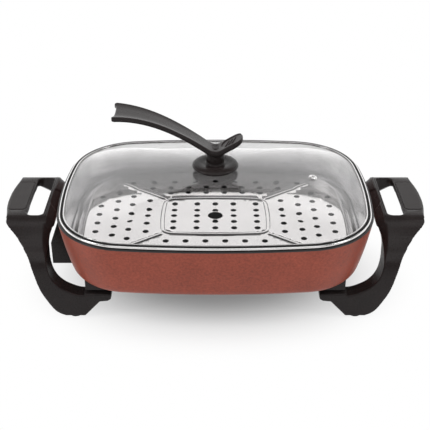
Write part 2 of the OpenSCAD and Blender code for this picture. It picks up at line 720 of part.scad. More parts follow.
// Where the vent lies on the dome: its ring, found step by step, and the slope there
inner_half = half_len - lid_rim_in;
function ring_x(t) = let (w = smooth(t)) (1 - w)*t*inner_half + w*(inner_half - (1 - t)*glass_reach);
function ring_at(x, t, steps) = steps == 0 ? t : ring_at(x, t + (x - ring_x(t))/inner_half, steps - 1);
vent_t = ring_at(vent_x, vent_x/inner_half, 8);
slope_step = 0.01;
vent_run = (ring_x(vent_t + slope_step) - ring_x(vent_t - slope_step))/(2*slope_step);
vent_tilt = atan(2*dome_drop*vent_t/vent_run);
bolt_hole = knob_bolt_d + 4;

module glass_shell() {
    rings = [for (t = glass_steps) glass_ring(t)];
    n = len(rings[0]);
    m = len(glass_steps);
    top = [for (k = [0:m - 1]) for (p = rings[k]) [p[0], p[1], glass_z(glass_steps[k])]];
    under = [for (p = top) p - [0, 0, glass_drop]];
    points = concat(top, under, [[0, 0, glass_z(0)], [0, 0, glass_z(0) - glass_drop]]);
    low = m*n;
    peak = 2*m*n;
    polyhedron(points, concat(
        [for (i = [0:n - 1]) [peak, (i + 1)%n, i]],
        [for (i = [0:n - 1]) [peak + 1, low + i, low + (i + 1)%n]],
        [for (k = [0:m - 2]) for (i = [0:n - 1]) let (j = (i + 1)%n)
            each [[k*n + i, k*n + j, (k + 1)*n + j], [k*n + i, (k + 1)*n + j, (k + 1)*n + i]]],
        [for (k = [0:m - 2]) for (i = [0:n - 1]) let (j = (i + 1)%n)
            each [[low + k*n + i, low + (k + 1)*n + j, low + k*n + j],
                  [low + k*n + i, low + (k + 1)*n + i, low + (k + 1)*n + j]]],
        [for (i = [0:n - 1]) let (j = (i + 1)%n, e = (m - 1)*n)
            each [[e + i, e + j, low + e + j], [e + i, low + e + j, low + e + i]]]
    ));
}
module at_vent() {
    translate([vent_x, 0, glass_z(vent_t)]) rotate([0, vent_tilt, 0]) children();
}
module lid_glass() {
    color("#dfe9ea", 0.35) difference() {
        glass_shell();
        translate([0, 0, rim_height]) cylinder(d = bolt_hole, h = 2*dome_tall);
        at_vent() translate([0, 0, -3*glass_t]) cylinder(d = vent_d + 3, h = 6*glass_t);
    }
}
// The metal rim is a channel round the glass's edge with a flange that rests on the pan's lip
module lid_rim() {
    base = rim_height - lid_rim_out;
    crown = base + lid_rim_tall;
    edge_round = 0.8;
    skirt = lip_in + lid_play;
    function glass_at(inset) = rim_height + glass_edge_z + edge_slope*(inset - lid_rim_in);
    function under_glass(inset) = glass_at(inset) - glass_drop - lift_gap;
    color(steel) bow_loft(rim, [
        [-lid_rim_out, base],
        [-lid_rim_out, crown - edge_round],
        [edge_round - lid_rim_out, crown],
        [lid_rim_in, glass_at(lid_rim_in) + lift_gap + lid_sheet],
        [lid_rim_in, glass_at(lid_rim_in) + lift_gap],
        [groove, glass_at(groove) + lift_gap],
        [groove, under_glass(groove)],
        [lid_rim_in, under_glass(lid_rim_in)],
        [lid_rim_in, under_glass(lid_rim_in) - lid_sheet],
        [groove, under_glass(groove) - lid_sheet],
        [skirt, under_glass(groove) - lid_sheet],
        [skirt, base]
    ], true);
}
module vent_eyelet() {
    drop = glass_drop*cos(vent_tilt);
    flange_t = 1;
    wall = 1;
    color(steel) at_vent() rotate_extrude() polygon([
        [vent_d/2, -drop - seat_gap - flange_t], [vent_flange_d/2, -drop - seat_gap - flange_t],
        [vent_flange_d/2, -drop - seat_gap], [vent_d/2 + wall, -drop - seat_gap],
        [vent_d/2 + wall, seat_gap], [vent_flange_d/2, seat_gap],
        [vent_flange_d/2 - 1, seat_gap + flange_t], [vent_d/2, seat_gap + flange_t]
    ]);
}

// Knob stack, from the bolt's head under the glass up to the cap over the arm's bend
glass_under = glass_z(0) - glass_drop;
seal_t = 1;
seal_d = 30;
// How much lower the dome is at the seals' edge than in the middle
seal_sag = dome_drop*pow(seal_d/2/(half_wid - lid_rim_in), 2);
foot_z = glass_z(0) + seal_t + seat_gap;
foot_top = foot_z + knob_tall;
bend_z = foot_top + neck_tall + arm_t/2;
washer_t = 1.2;
bolt_head_z = glass_under - seal_sag - seal_t - washer_t - 2*seat_gap;
bend_x = -1;
arm_line = bezier([
    [bend_x, bend_z], [-0.33*arm_reach, bend_z + 0.58*arm_climb],
    [-0.64*arm_reach, bend_z + 0.99*arm_climb], [-arm_reach, bend_z + arm_climb]
], 16);
tail_line = bezier([
    [bend_x, bend_z], [0.3*tail_reach, bend_z + 0.32*tail_climb],
    [0.64*tail_reach, bend_z + 0.68*tail_climb], [tail_reach, bend_z + tail_climb]
], 8);
// Seen from above: the arm widens towards a notched tip, and the tail has a round end
arm_plan = concat(
    [for (a = [-90:15:90]) [tail_reach - arm_wid/2 + arm_wid/2*cos(a), arm_wid/2*sin(a)]],
    [[-neck_d/2, arm_wid/2], [-arm_reach, arm_tip_wid/2]],
    [for (i = [-5:5]) let (u = -i/6) [-arm_reach + tip_notch*(1 - u*u), u*arm_tip_wid/2]],
    [[-arm_reach, -arm_tip_wid/2], [-neck_d/2, -arm_wid/2]]
);
cap_t = 2;
cap_top = bend_z + arm_t/2 + 2;

module seal_ring(z) {
    color("#2b2b2b") translate([0, 0, z]) difference() {
        cylinder(d = seal_d, h = seal_t);
        translate([0, 0, -1]) cylinder(d = knob_bolt_d + 2*screw_gap, h = seal_t + 2);
    }
}
module upper_seal() {
    seal_ring(glass_z(0) + seat_gap/2);
}
module lower_seal() {
    seal_ring(glass_under - seal_sag - seal_t - seat_gap/2);
}
module knob_washer() {
    color(steel) translate([0, 0, bolt_head_z + seat_gap/2]) difference() {
        cylinder(d = seal_d - 6, h = washer_t);
        translate([0, 0, -1]) cylinder(d = knob_bolt_d + 2*screw_gap, h = washer_t + 2);
    }
}
module knob_bolt() {
    head_t = 0.6*knob_bolt_d;
    color(steel) translate([0, 0, bolt_head_z]) {
        translate([0, 0, -head_t]) cylinder(d = 2*knob_bolt_d, h = head_t);
        cylinder(d = knob_bolt_d, h = bend_z - bolt_head_z - 1);
    }
}
module knob_foot() {
    r = knob_d/2;
    color(black_plastic) translate([0, 0, foot_z]) difference() {
        rotate_extrude() polygon(concat(
            [[0, 0], [r - 7, 0]],
            curve([[r - 7, 0], [r - 2, 0.17*knob_tall], [r, 0.42*knob_tall], [r - 2, 0.66*knob_tall],
                   [r - 7, 0.81*knob_tall], [neck_d/2 + 5, 0.95*knob_tall], [neck_d/2 + 1, knob_tall]]),
            [[0, knob_tall]]
        ));
        translate([0, 0, -1]) cylinder(d = knob_bolt_d + 2*screw_gap, h = knob_tall + 2);
    }
}
module stand_arm() {
    color(black_plastic) difference() {
        union() {
            intersection() {
                union() {
                    across(strap(arm_line, arm_t), 2*arm_tip_wid);
                    across(strap(tail_line, arm_t), 2*arm_tip_wid);
                }
                linear_extrude(2*bend_z) polygon(arm_plan);
            }
            translate([0, 0, foot_top + seat_gap]) cylinder(d = neck_d, h = neck_tall + arm_t/2);
            translate([0, 0, bend_z - arm_t/2]) cylinder(d = cap_d + 4, h = cap_top - bend_z + arm_t/2);
        }
        cylinder(d = knob_bolt_d + 2*seat_gap, h = bend_z);
        translate([0, 0, cap_top - cap_t]) cylinder(d = cap_d + 2*seat_gap, h = 2*arm_climb);
    }
}
module arm_cap() {
    color("#2f2d2d") translate([0, 0, cap_top - cap_t]) cylinder(d = cap_d, h = cap_t + 0.5);
}

pan();
pan_bushes();
heating_element();
element_clips();
terminal_pins();
terminal_bushes();
probe_sleeve();
terminal_plate();
inlet_hood();
inlet_screws();
left_frame();
right_frame();
left_grip_panel();
right_grip_panel();
leg_posts();
leg_screws();
foot_pads();
steam_rack();
lid_glass();
lid_rim();
vent_eyelet();
upper_seal();
lower_seal();
knob_washer();
knob_bolt();
knob_foot();
stand_arm();
arm_cap();
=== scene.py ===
"""Looks of an electric hot pot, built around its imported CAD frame.

Sizes are millimetres and follow the part's own; MM turns them into Blender's metres.
The front is at -Y, the inlet for the plug at -X, and the table at z = 0.
"""
import math

import bmesh
import bpy
import numpy as np
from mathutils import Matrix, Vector
from mathutils.geometry import delaunay_2d_cdt


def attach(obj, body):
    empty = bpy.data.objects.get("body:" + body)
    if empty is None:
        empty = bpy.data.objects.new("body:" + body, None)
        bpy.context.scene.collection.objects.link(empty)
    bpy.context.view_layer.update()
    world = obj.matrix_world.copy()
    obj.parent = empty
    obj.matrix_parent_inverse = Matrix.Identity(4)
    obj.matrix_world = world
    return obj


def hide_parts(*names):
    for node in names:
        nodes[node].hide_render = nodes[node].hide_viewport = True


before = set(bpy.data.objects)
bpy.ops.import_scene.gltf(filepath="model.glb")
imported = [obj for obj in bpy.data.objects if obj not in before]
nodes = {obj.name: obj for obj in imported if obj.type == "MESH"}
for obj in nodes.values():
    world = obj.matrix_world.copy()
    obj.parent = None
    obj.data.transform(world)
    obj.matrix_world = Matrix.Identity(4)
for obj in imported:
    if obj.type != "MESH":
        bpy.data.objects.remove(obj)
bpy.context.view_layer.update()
MM = 0.001

# Sizes, which the part's source gives too
RIM_Z = 134.0
RIM = (196.0, 147.5, 1228.0, 587.0, 86.0)
PAN_DEPTH, PAN_FLARE, PAN_DRAFT, PAN_BOW, PAN_ROUND = 80.0, 6.0, 9.5, 5.0, 12.0
PAN_WALL, PAN_FLOOR, PAN_FILLET = 3.2, 5.0, 12.0
LEDGE_WID, LEDGE_DEPTH, LIP_WID, LIP_TALL = 5.0, 50.0, 4.5, 5.0
LEDGE_Z = RIM_Z - LEDGE_DEPTH
RACK_PLAY, RACK_T, RACK_RISE, RACK_FLANGE, RACK_SHOULDER = 1.5, 1.0, 6.5, 9.0, 7.0
STEAM_HOLE_D, MIDDLE_HOLE_D = 8.0, 20.0
PANEL_LEN, PANEL_WID, PANEL_ROW, PANEL_CORNER = 134.0, 92.0, 16.5, 7.0
PANEL_BOW = (670.0, 460.0)
RIB_TALL, RIB_WID, RIB_LEN, RIB_TURN, RIB_FLANK = 1.3, 5.6, 70.0, 35.0, 1.7
RIB_EDGE = RIB_WID/2 + 0.4
RIB_START = (4.0, 3.0)
DOME_TALL, GLASS_EDGE_Z, GLASS_T = 28.0, 0.0, 3.5
LID_RIM_OUT, LID_RIM_IN, LID_RIM_TALL, LID_SHEET, LID_PLAY = 3.0, 3.8, 3.4, 0.9, 0.8
LIFT_GAP, SEAT_GAP = 0.3, 0.15
ARM_REACH, ARM_CLIMB, TAIL_REACH, TAIL_CLIMB, BEND_X = 128.0, 56.0, 35.0, 21.0, -1.0
ARM_T, ARM_WID, ARM_TIP_WID, TIP_NOTCH = 7.0, 27.0, 48.0, 5.0
NECK_D, NECK_TALL, KNOB_D, KNOB_TALL, CAP_D = 24.0, 8.0, 60.0, 11.0, 11.0
KNOB_BOLT_D, SEAL_T = 6.0, 1.0
FRAME_IN, FRAME_OUT, HANDLE_WID, HANDLE_TOP, PLATE_T, BAR_TALL = 205.0, 271.0, 125.0, 123.0, 6.5, 14.0
HANDLE_BOW = (1250.0, 200.0)
SLOT_X, SLOT_WID, SLOT_LEN, SLOT_CORNER = 229.5, 23.0, 100.0, 8.0
LEG_Y, LEG_WID, BEAM_TOP, BEAM_T, PAD_TALL, GRIP_LEN = 91.0, 22.0, 42.0, 17.0, 2.0, 74.0
SCREW_X, SCREW_D, SCREW_RECESS, FOOT_X, PAD_D = 142.0, 4.0, 5.0, 180.0, 17.0

# The photograph's camera, fitted to the lid's rim: place in metres, tilt in degrees from straight down,
# lens and sensor in millimetres
CAMERA_PLACE, CAMERA_TILT, CAMERA_LENS, SENSOR = (-0.0004, -1.0065, 0.6719), 60.11, 72.84, 36.0


# Mesh helpers

def add_object(name, mesh):
    obj = bpy.data.objects.new(name, mesh)
    bpy.context.scene.collection.objects.link(obj)
    return obj


def mesh_object(name, verts, faces, materials, face_slots=None, sharp=40.0):
    """A smooth-shaded mesh from points in millimetres, with outward normals."""
    mesh = bpy.data.meshes.new(name)
    mesh.from_pydata([Vector(v) * MM for v in verts], [], faces)
    for m in materials:
        mesh.materials.append(m)
    if face_slots is not None:
        mesh.polygons.foreach_set("material_index", np.array(face_slots, np.int32))
    bm = bmesh.new()
    bm.from_mesh(mesh)
    bmesh.ops.remove_doubles(bm, verts=bm.verts, dist=1e-7)
    bmesh.ops.recalc_face_normals(bm, faces=bm.faces)
    bm.to_mesh(mesh)
    bm.free()
    mesh.shade_smooth()
    mesh.set_sharp_from_angle(angle=math.radians(sharp))
    return add_object(name, mesh)


def loft(rings, closed=False, first=0):
    """Quads between neighbouring rings of equal size, counted from the vertex number first."""
    n, m = len(rings[0]), len(rings)
    faces = []
    for k in range(m if closed else m - 1):
        low, up = first + k*n, first + (k + 1) % m*n
        faces += [(low + i, low + (i + 1) % n, up + (i + 1) % n, up + i) for i in range(n)]
    return faces


def lathe(profile, turns=96):
    """Rings of a profile [(radius, z), ...] turned about the Z axis."""
    angles = np.linspace(0, 2*math.pi, turns, endpoint=False)
    return [np.stack([r*np.cos(angles), r*np.sin(angles), np.full(turns, z)], 1) for r, z in profile]


def joined(rings_list):
    """Vertices and faces of several open lofts, each closed by a flat face at both ends."""
    verts, faces = [], []
    for rings in rings_list:
        first, n = len(verts), len(rings[0])
        faces += loft(rings, first=first)
        last = first + (len(rings) - 1)*n
        faces += [tuple(range(first + n - 1, first - 1, -1)), tuple(range(last, last + n))]
        verts += [p for r in rings for p in r]
    return verts, faces


def smooth_curve(points, steps=6):
    """A Catmull-Rom curve through the points."""
    p = [np.array(q, float) for q in points]
    p = [2*p[0] - p[1]] + p + [2*p[-1] - p[-2]]
    out = []
    for i in range(1, len(p) - 2):
        a, b, c, d = p[i - 1:i + 3]
        for t in np.arange(steps)/steps:
            out.append(0.5*(2*b + (c - a)*t + (2*a - 5*b + 4*c - d)*t**2 + (3*b - a - 3*c + d)*t**3))
    return out + [p[-2]]


def bezier(p, n):
    """A cubic curve with four control points, in n steps."""
    t = np.linspace(0, 1, n + 1)[:, None]
    p = [np.array(q, float) for q in p]
    return (1 - t)**3*p[0] + 3*(1 - t)**2*t*p[1] + 3*(1 - t)*t**2*p[2] + t**3*p[3]


def applied(obj):
    """Turns an object's modifiers into its mesh."""
    depsgraph = bpy.context.evaluated_depsgraph_get()
    mesh = bpy.data.meshes.new_from_object(obj.evaluated_get(depsgraph))
    obj.modifiers.clear()
    obj.data = mesh
    return obj


def lighter(obj, ratio):
    """Fewer faces where a meshed field is flat."""
    step = obj.modifiers.new("lighter", "DECIMATE")
    step.ratio = ratio
    applied(obj)
    obj.data.shade_smooth()


# Distance fields: less than 0 inside, joined with rounded edges or fillets, and then meshed

def outline_field(u, v, outline):
    """Signed distance of the points u, v from a closed outline."""
    outline = np.asarray(outline, float)
    nearest = np.full(np.broadcast(u, v).shape, 1e9)
    inside = np.zeros(nearest.shape, bool)
    for (u0, v0), (u1, v1) in zip(outline, np.roll(outline, -1, 0)):
        du, dv = u1 - u0, v1 - v0
        if du == dv == 0:
            continue
        t = np.clip(((u - u0)*du + (v - v0)*dv)/(du*du + dv*dv), 0, 1)
        nearest = np.minimum(nearest, (u - u0 - t*du)**2 + (v - v0 - t*dv)**2)
        if dv:
            inside ^= ((v0 > v) != (v1 > v)) & (u < u0 + (v - v0)*du/dv)
    return np.where(inside, -1, 1)*np.sqrt(nearest)


def box_field(u, v, half_u, half_v, r):
    """Signed distance from a rectangle with round corners."""
    a, b = np.abs(u) - half_u + r, np.abs(v) - half_v + r
    return np.hypot(np.maximum(a, 0), np.maximum(b, 0)) + np.minimum(np.maximum(a, b), 0) - r


def meet(a, b, r):
    """What two fields share, with a rounded edge."""
    return np.minimum(np.maximum(a, b), -r) + np.hypot(np.maximum(a + r, 0), np.maximum(b + r, 0))


def merge(a, b, r):
    """Two fields together, with a fillet."""
    return np.maximum(np.minimum(a, b), r) - np.hypot(np.maximum(r - a, 0), np.maximum(r - b, 0))


def grid(low, high, step):
    """Axes of a grid as arrays that broadcast against each other."""
    axes = [np.arange(a, b + step, step, dtype=np.float32) for a, b in zip(low, high)]
    return axes[0][:, None, None], axes[1][None, :, None], axes[2][None, None, :]


def field_mesh(field, low, step):
    """Points and quads of a field's zero surface, with one point for each cell that it passes through."""
    inside = field < 0
    shape = np.array(field.shape) - 1
    corners = np.array([(i, j, k) for i in (0, 1) for j in (0, 1) for k in (0, 1)])
    count = sum(inside[i:shape[0] + i, j:shape[1] + j, k:shape[2] + k].astype(np.int8)
                for i, j, k in corners)
    cells = np.argwhere((count > 0) & (count < 8))
    number = np.full(shape, -1)
    number[tuple(cells.T)] = np.arange(len(cells))
    values = [field[tuple((cells + c).T)] for c in corners]
    total, hits = np.zeros((len(cells), 3)), np.zeros((len(cells), 1))
    for a in range(8):
        for b in range(a + 1, 8):
            if np.abs(corners[a] - corners[b]).sum() == 1:
                mixed = (values[a] < 0) != (values[b] < 0)
                t = np.where(mixed, values[a]/np.where(mixed, values[a] - values[b], 1), 0)
                total += mixed[:, None]*(corners[a] + t[:, None]*(corners[b] - corners[a]))
                hits += mixed[:, None]
    points = np.array(low) + step*(cells + total/hits)
    quads = []
    for axis in range(3):
        ahead, e1, e2 = np.roll(np.eye(3, dtype=int), -axis, 0)
        far = tuple(slice(1, None) if k else slice(None) for k in ahead)
        near = tuple(slice(None, -1) if k else slice(None) for k in ahead)
        spots = np.argwhere(inside[near] != inside[far])
        quads.append(np.stack([number[tuple((spots - d).T)] for d in (e1 + e2, e2, 0*e1, e1)], 1))
    return points, np.concatenate(quads)


# The bowed rectangle that the pan, the rack and the lid follow

def bow_arcs(s):
    """Centres of the long and the short sides' arcs, a corner's centre, and half the angle of each side."""
    half_len, half_wid, long_r, short_r, corner_r = s
    p, q = long_r - half_wid, short_r - half_len
    d = math.hypot(p, q)
    ra, rb = long_r - corner_r, short_r - corner_r
    along = (ra*ra - rb*rb + d*d)/(2*d)
    off = math.sqrt(ra*ra - along*along)
    corner = np.array([(off*p - along*q)/d, (along*p + off*q)/d - p])
    return p, q, corner, math.atan2(corner[1], corner[0] + q), math.atan2(corner[0], corner[1] + p)


def bow(s, inset, counts=(8, 20, 12)):
    """Points round a bowed rectangle that is drawn in by an inset."""
    p, q, corner, short_half, long_half = bow_arcs(s)
    up = math.pi/2 - long_half
    arcs = [
        ((-q, 0), s[3] - inset, 0, short_half, counts[0], False),
        (corner, s[4] - inset, short_half, up, counts[1], False),
        ((0, -p), s[2] - inset, up, math.pi/2, counts[2], True),
    ]
    quarter = []
    for centre, r, a0, a1, n, whole in arcs:
        for a in np.linspace(a0, a1, n + 1)[:None if whole else -1]:
            quarter.append((centre[0] + r*math.cos(a), centre[1] + r*math.sin(a)))
    q1 = np.array(quarter)
    left = q1[:0:-1]*[-1, 1]
    return np.concatenate([q1[:-1], left, -q1[:-1], q1[:0:-1]*[1, -1]])


def at_height(points, z):
    return np.column_stack([points, np.full(len(points), z)])


def bow_ring(inset, z):
    """The rim's outline, drawn in, at a height."""
    return at_height(bow(RIM, inset), z)


# Nodes of materials, the floor and the world

def add_node(tree, kind, **settings):
    """A new node with some of its settings."""
    made = tree.nodes.new(kind)
    for key, value in settings.items():
        setattr(made, key, value)
    return made


def plug(tree, socket, value):
    """Links a socket to another one, or sets it to a number."""
    if isinstance(value, (int, float)):
        socket.default_value = value
    else:
        tree.links.new(value, socket)


def calc(tree, operation, *values):
    """The result of a sum on sockets and numbers."""
    made = add_node(tree, "ShaderNodeMath", operation=operation)
    for socket, value in zip(made.inputs, values):
        plug(tree, socket, value)
    return made.outputs[0]


def map_range(tree, value, low, high, at_low=0.0, at_high=1.0, curve="LINEAR"):
    """Carries a value from the range low to high over to the range at_low to at_high."""
    made = add_node(tree, "ShaderNodeMapRange", interpolation_type=curve)
    ends = (("From Min", low), ("From Max", high), ("To Min", at_low), ("To Max", at_high))
    for name, number in (*ends, ("Value", value)):
        plug(tree, made.inputs[name], number)
    return made.outputs["Result"]


# Materials. Patterns use object coordinates, in metres, because every piece sits at the origin.

class Shader:
    """A material with its Principled shader and short ways to add pattern nodes."""

    def __init__(self, name, color, rough, metal=0.0, **sockets):
        self.mat = bpy.data.materials.new(name)
        self.mat.use_nodes = True
        self.tree = self.mat.node_tree
        self.bsdf = self.tree.nodes["Principled BSDF"]
        self.bsdf.inputs["Base Color"].default_value = (*color, 1)
        self.bsdf.inputs["Roughness"].default_value = rough
        self.bsdf.inputs["Metallic"].default_value = metal
        for key, value in sockets.items():
            self.bsdf.inputs[key.replace("_", " ")].default_value = value
        self.coords = self.node("ShaderNodeTexCoord").outputs["Object"]

    def node(self, kind, **settings):
        return add_node(self.tree, kind, **settings)

    def link(self, a, b):
        self.tree.links.new(a, b)

    def noise(self, scale, detail=2.0, stretch=None):
        where = self.coords
        if stretch:
            mapping = self.node("ShaderNodeMapping")
            mapping.inputs["Scale"].default_value = stretch
            self.link(where, mapping.inputs["Vector"])
            where = mapping.outputs["Vector"]
        made = self.node("ShaderNodeTexNoise")
        made.inputs["Scale"].default_value = scale
        made.inputs["Detail"].default_value = detail
        self.link(where, made.inputs["Vector"])
        return made.outputs["Fac"]

    def height(self, low, high):
        """0 to 1 between two heights in millimetres."""
        split = self.node("ShaderNodeSeparateXYZ")
        self.link(self.coords, split.inputs[0])
        return map_range(self.tree, split.outputs["Z"], low*MM, high*MM)

    def cells(self, scale):
        made = self.node("ShaderNodeTexVoronoi")
        made.inputs["Scale"].default_value = scale
        self.link(self.coords, made.inputs["Vector"])
        return made.outputs["Distance"]

    def mix(self, a, b, share):
        """Two patterns, with a share of the second."""
        first = calc(self.tree, "MULTIPLY", a, 1 - share)
        return calc(self.tree, "MULTIPLY_ADD", b, share, first)

    def ramp(self, value, stops):
        made = self.node("ShaderNodeValToRGB")
        elements = made.color_ramp.elements
        while len(elements) < len(stops):
            elements.new(0.5)
        for element, (place, color) in zip(elements, stops):
            element.position = place
            element.color = (*color, 1)
        self.link(value, made.inputs["Fac"])
        return made.outputs["Color"]

    def spread(self, value, low, high):
        """Noise, which lies mostly between 0.3 and 0.7, carried over to a range."""
        return map_range(self.tree, value, 0.3, 0.7, low, high)

    def color(self, value, stops):
        self.link(self.ramp(value, stops), self.bsdf.inputs["Base Color"])
        return self

    def rough(self, value, low, high):
        self.link(self.spread(value, low, high), self.bsdf.inputs["Roughness"])
        return self

    def bump(self, value, strength, depth):
        made = self.node("ShaderNodeBump")
        made.inputs["Strength"].default_value = strength
        made.inputs["Distance"].default_value = depth*MM
        self.link(value, made.inputs["Height"])
        self.link(made.outputs["Normal"], self.bsdf.inputs["Normal"])
        return self


def tones(color, dark, light):
    """Three stops of one colour for a ramp over noise, which lies mostly between 0.3 and 0.7."""
    return [(place, tuple(c*k for c in color)) for place, k in ((0.32, dark), (0.5, 1.0), (0.68, light))]


def copper_coat():
    s = Shader("copper_coat", (0.35, 0.08, 0.048), 0.45, Specular_IOR_Level=0.3)
    fine = s.mix(s.noise(330, 3), s.noise(1100, 2), 0.4)
    pattern = s.mix(fine, s.noise(26, 2), 0.2)
    s.color(pattern, tones((0.288, 0.059, 0.033), 0.66, 1.4))
    return s.rough(fine, 0.36, 0.56).bump(fine, 0.35, 0.12).mat


def dark_coat(name, color, rough):
    s = Shader(name, color, rough, Specular_IOR_Level=0.4)
    grain = s.noise(900, 3)
    s.color(grain, tones(color, 0.7, 1.4)).rough(grain, rough - 0.08, rough + 0.1)
    return s.bump(grain, 0.2, 0.05).mat


def satin_grey_with_painted_light():
    """The pan's inside, with painted light: its colour lightens towards the rim, standing in for light on
    the upper wall.
    """
    s = Shader("satin_grey_with_painted_light", (0.62, 0.61, 0.62), 0.22, 1.0)
    grain = s.noise(1500, 2)
    # Painted light: the colour is graded by height, light near the rim and darker down towards the ledge,
    # mixed with a little random mottle.
    shade = s.mix(s.height(LEDGE_Z - 6, RIM_Z - 4), s.mix(s.noise(16, 2), grain, 0.35), 0.12)
    low, middle, high = (0.5, 0.495, 0.505), (0.66, 0.655, 0.662), (0.88, 0.87, 0.87)
    s.color(shade, [(0.12, low), (0.45, middle), (0.9, high)])
    return s.rough(grain, 0.18, 0.27).bump(grain, 0.05, 0.01).mat


def steel(name, tone, rough, stretch):
    s = Shader(name, (tone, tone, tone), rough, 1.0)
    brush = s.noise(220, 3, stretch)
    s.color(s.mix(brush, s.noise(30, 2), 0.4), tones((tone, tone*0.985, tone*0.98), 0.95, 1.04))
    return s.rough(brush, rough*0.75, rough*1.3).bump(brush, 0.03, 0.01).mat


def moulded_plastic(name, color, rough, grain_depth):
    s = Shader(name, color, rough, Specular_IOR_Level=0.2)
    grain = s.mix(s.noise(1400, 2), s.cells(900), 0.4)
    s.color(s.mix(grain, s.noise(40, 2), 0.5), tones(color, 0.85, 1.2))
    return s.rough(grain, rough - 0.06, rough + 0.08).bump(grain, 0.25, grain_depth).mat


def clear_glass():
    s = Shader("clear_glass", (0.99, 0.985, 0.985), 0.0, Transmission_Weight=1.0, IOR=1.5)
    smear = s.noise(9, 2)
    return s.rough(smear, 0.0, 0.012).mat


COPPER = copper_coat()
# The lip's black band is partly a dark edge and partly painted shade: the shadow gap under the lid's rim.
LIP_BLACK_AND_SHADE = dark_coat("lip_black_painted_shade", (0.012, 0.011, 0.011), 0.36)
UNDER_COAT = dark_coat("under_coat", (0.045, 0.03, 0.026), 0.5)
INSIDE = satin_grey_with_painted_light()
# Below the ledge the pan is dark: partly a dark coat and partly painted shade for the space under the rack.
FLOOR_COAT_AND_SHADE = dark_coat("floor_coat_painted_shade", (0.014, 0.0135, 0.0135), 0.5)
RACK_STEEL = steel("rack_steel", 0.93, 0.075, (4, 4, 4))
RIM_STEEL = steel("rim_steel", 0.82, 0.16, (3, 3, 3))
PLAIN_STEEL = steel("plain_steel", 0.58, 0.34, (6, 6, 6))
SHEATH = steel("element_sheath", 0.20, 0.48, (4, 4, 4))
NICKEL = steel("nickel_plate", 0.66, 0.22, (8, 2, 2))
BLACK = moulded_plastic("black_plastic", (0.0165, 0.0128, 0.0125), 0.29, 0.03)
GRIP = moulded_plastic("grip_plastic", (0.027, 0.0235, 0.023), 0.44, 0.06)
RUBBER = moulded_plastic("black_rubber", (0.011, 0.011, 0.011), 0.72, 0.08)
CERAMIC = moulded_plastic("white_ceramic", (0.72, 0.69, 0.62), 0.55, 0.05)
BOARD = moulded_plastic("insulating_board", (0.05, 0.042, 0.036), 0.68, 0.09)
GLASS = clear_glass()


def dress(obj, body, slot, *replaced):
    """Puts a modelled piece on its body, in the place of CAD nodes; the slot is not used."""
    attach(obj, body)
    if replaced:
        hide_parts(*replaced)
    return obj


# Pan

def wall_inset(d):
    """How far the pan's outside is drawn in from the rim's outline at a depth."""
    return math.tan(math.radians(PAN_DRAFT))*d + PAN_BOW*(d/PAN_DEPTH)**3 - PAN_FLARE


PAN_UNDER = RIM_Z - PAN_DEPTH
FLOOR_TOP = PAN_UNDER + PAN_FLOOR
LIP_DEPTH = LID_RIM_OUT + LIFT_GAP
LIP_TOP = RIM_Z - LIP_DEPTH
LIP_IN = wall_inset(LIP_DEPTH) + LIP_WID
LEDGE_OUT = wall_inset(LEDGE_DEPTH) + PAN_WALL
LEDGE_IN = LEDGE_OUT + LEDGE_WID


def pan_section():
    """[inset, z, zone of the band that starts here], from below up the outside and down the inside."""
    round_depth = PAN_DEPTH - PAN_ROUND
    slope = math.atan(math.tan(math.radians(PAN_DRAFT))
                      + 3*PAN_BOW*(round_depth/PAN_DEPTH)**2/PAN_DEPTH)
    r = PAN_ROUND/(1 - math.sin(slope))
    round_in = wall_inset(round_depth) + r*math.cos(slope)
    coat_edge = 1.35
    section = [(inset, PAN_UNDER, "under") for inset in (80, 60, 40, round_in + 3)]
    for a in np.linspace(math.pi/2, slope, 13):
        z = RIM_Z - round_depth - r*(math.sin(a) - math.sin(slope))
        section.append((round_in - r*math.cos(a), z, "under" if a > coat_edge else "outside"))
    # From here up, the lip's black band paints the shadow gap under the lid's rim, besides being a dark
    # edge.
    dark_depth = LIP_DEPTH + 1.5
    for d in np.linspace(round_depth, dark_depth, 15)[1:]:
        section.append((wall_inset(d), RIM_Z - d, "outside" if d > dark_depth + 1e-6 else "lip"))
    out, edge = wall_inset(LIP_DEPTH), 0.5
    section += [(out - 0.05, LIP_TOP - edge, "lip"), (out + 0.15, LIP_TOP - 0.15, "lip"),
                (out + edge, LIP_TOP, "lip"), (LIP_IN - edge, LIP_TOP, "lip"),
                (LIP_IN - 0.15, LIP_TOP - 0.15, "lip"), (LIP_IN, LIP_TOP - edge, "inside"),
                (LIP_IN, LIP_TOP - LIP_TALL + 1, "inside"), (LIP_IN - 0.5, LIP_TOP - LIP_TALL, "inside")]
    lip_under = LIP_DEPTH + LIP_TALL
    for d in np.linspace(lip_under + 1, LEDGE_DEPTH - 2, 10):
        section.append((wall_inset(d) + PAN_WALL, RIM_Z - d, "inside"))
    # The floor zone below the ledge is dark, partly as its coat and partly as painted shade under the rack.
    section += [(LEDGE_OUT + 0.4, LEDGE_Z + 0.4, "inside"), (LEDGE_OUT + 2, LEDGE_Z, "inside"),
                (LEDGE_IN - 1, LEDGE_Z, "inside"), (LEDGE_IN, LEDGE_Z - 1, "floor")]
    lower_in = LEDGE_IN + math.tan(math.radians(PAN_DRAFT))*(LEDGE_Z - FLOOR_TOP - PAN_FILLET)
    for a in np.linspace(math.pi, 1.5*math.pi, 8):
        x, z = lower_in + PAN_FILLET*(1 + math.cos(a)), FLOOR_TOP + PAN_FILLET*(1 + math.sin(a))
        section.append((x, z, "floor"))
    return section + [(inset, FLOOR_TOP, "floor") for inset in (40, 60, 80)]


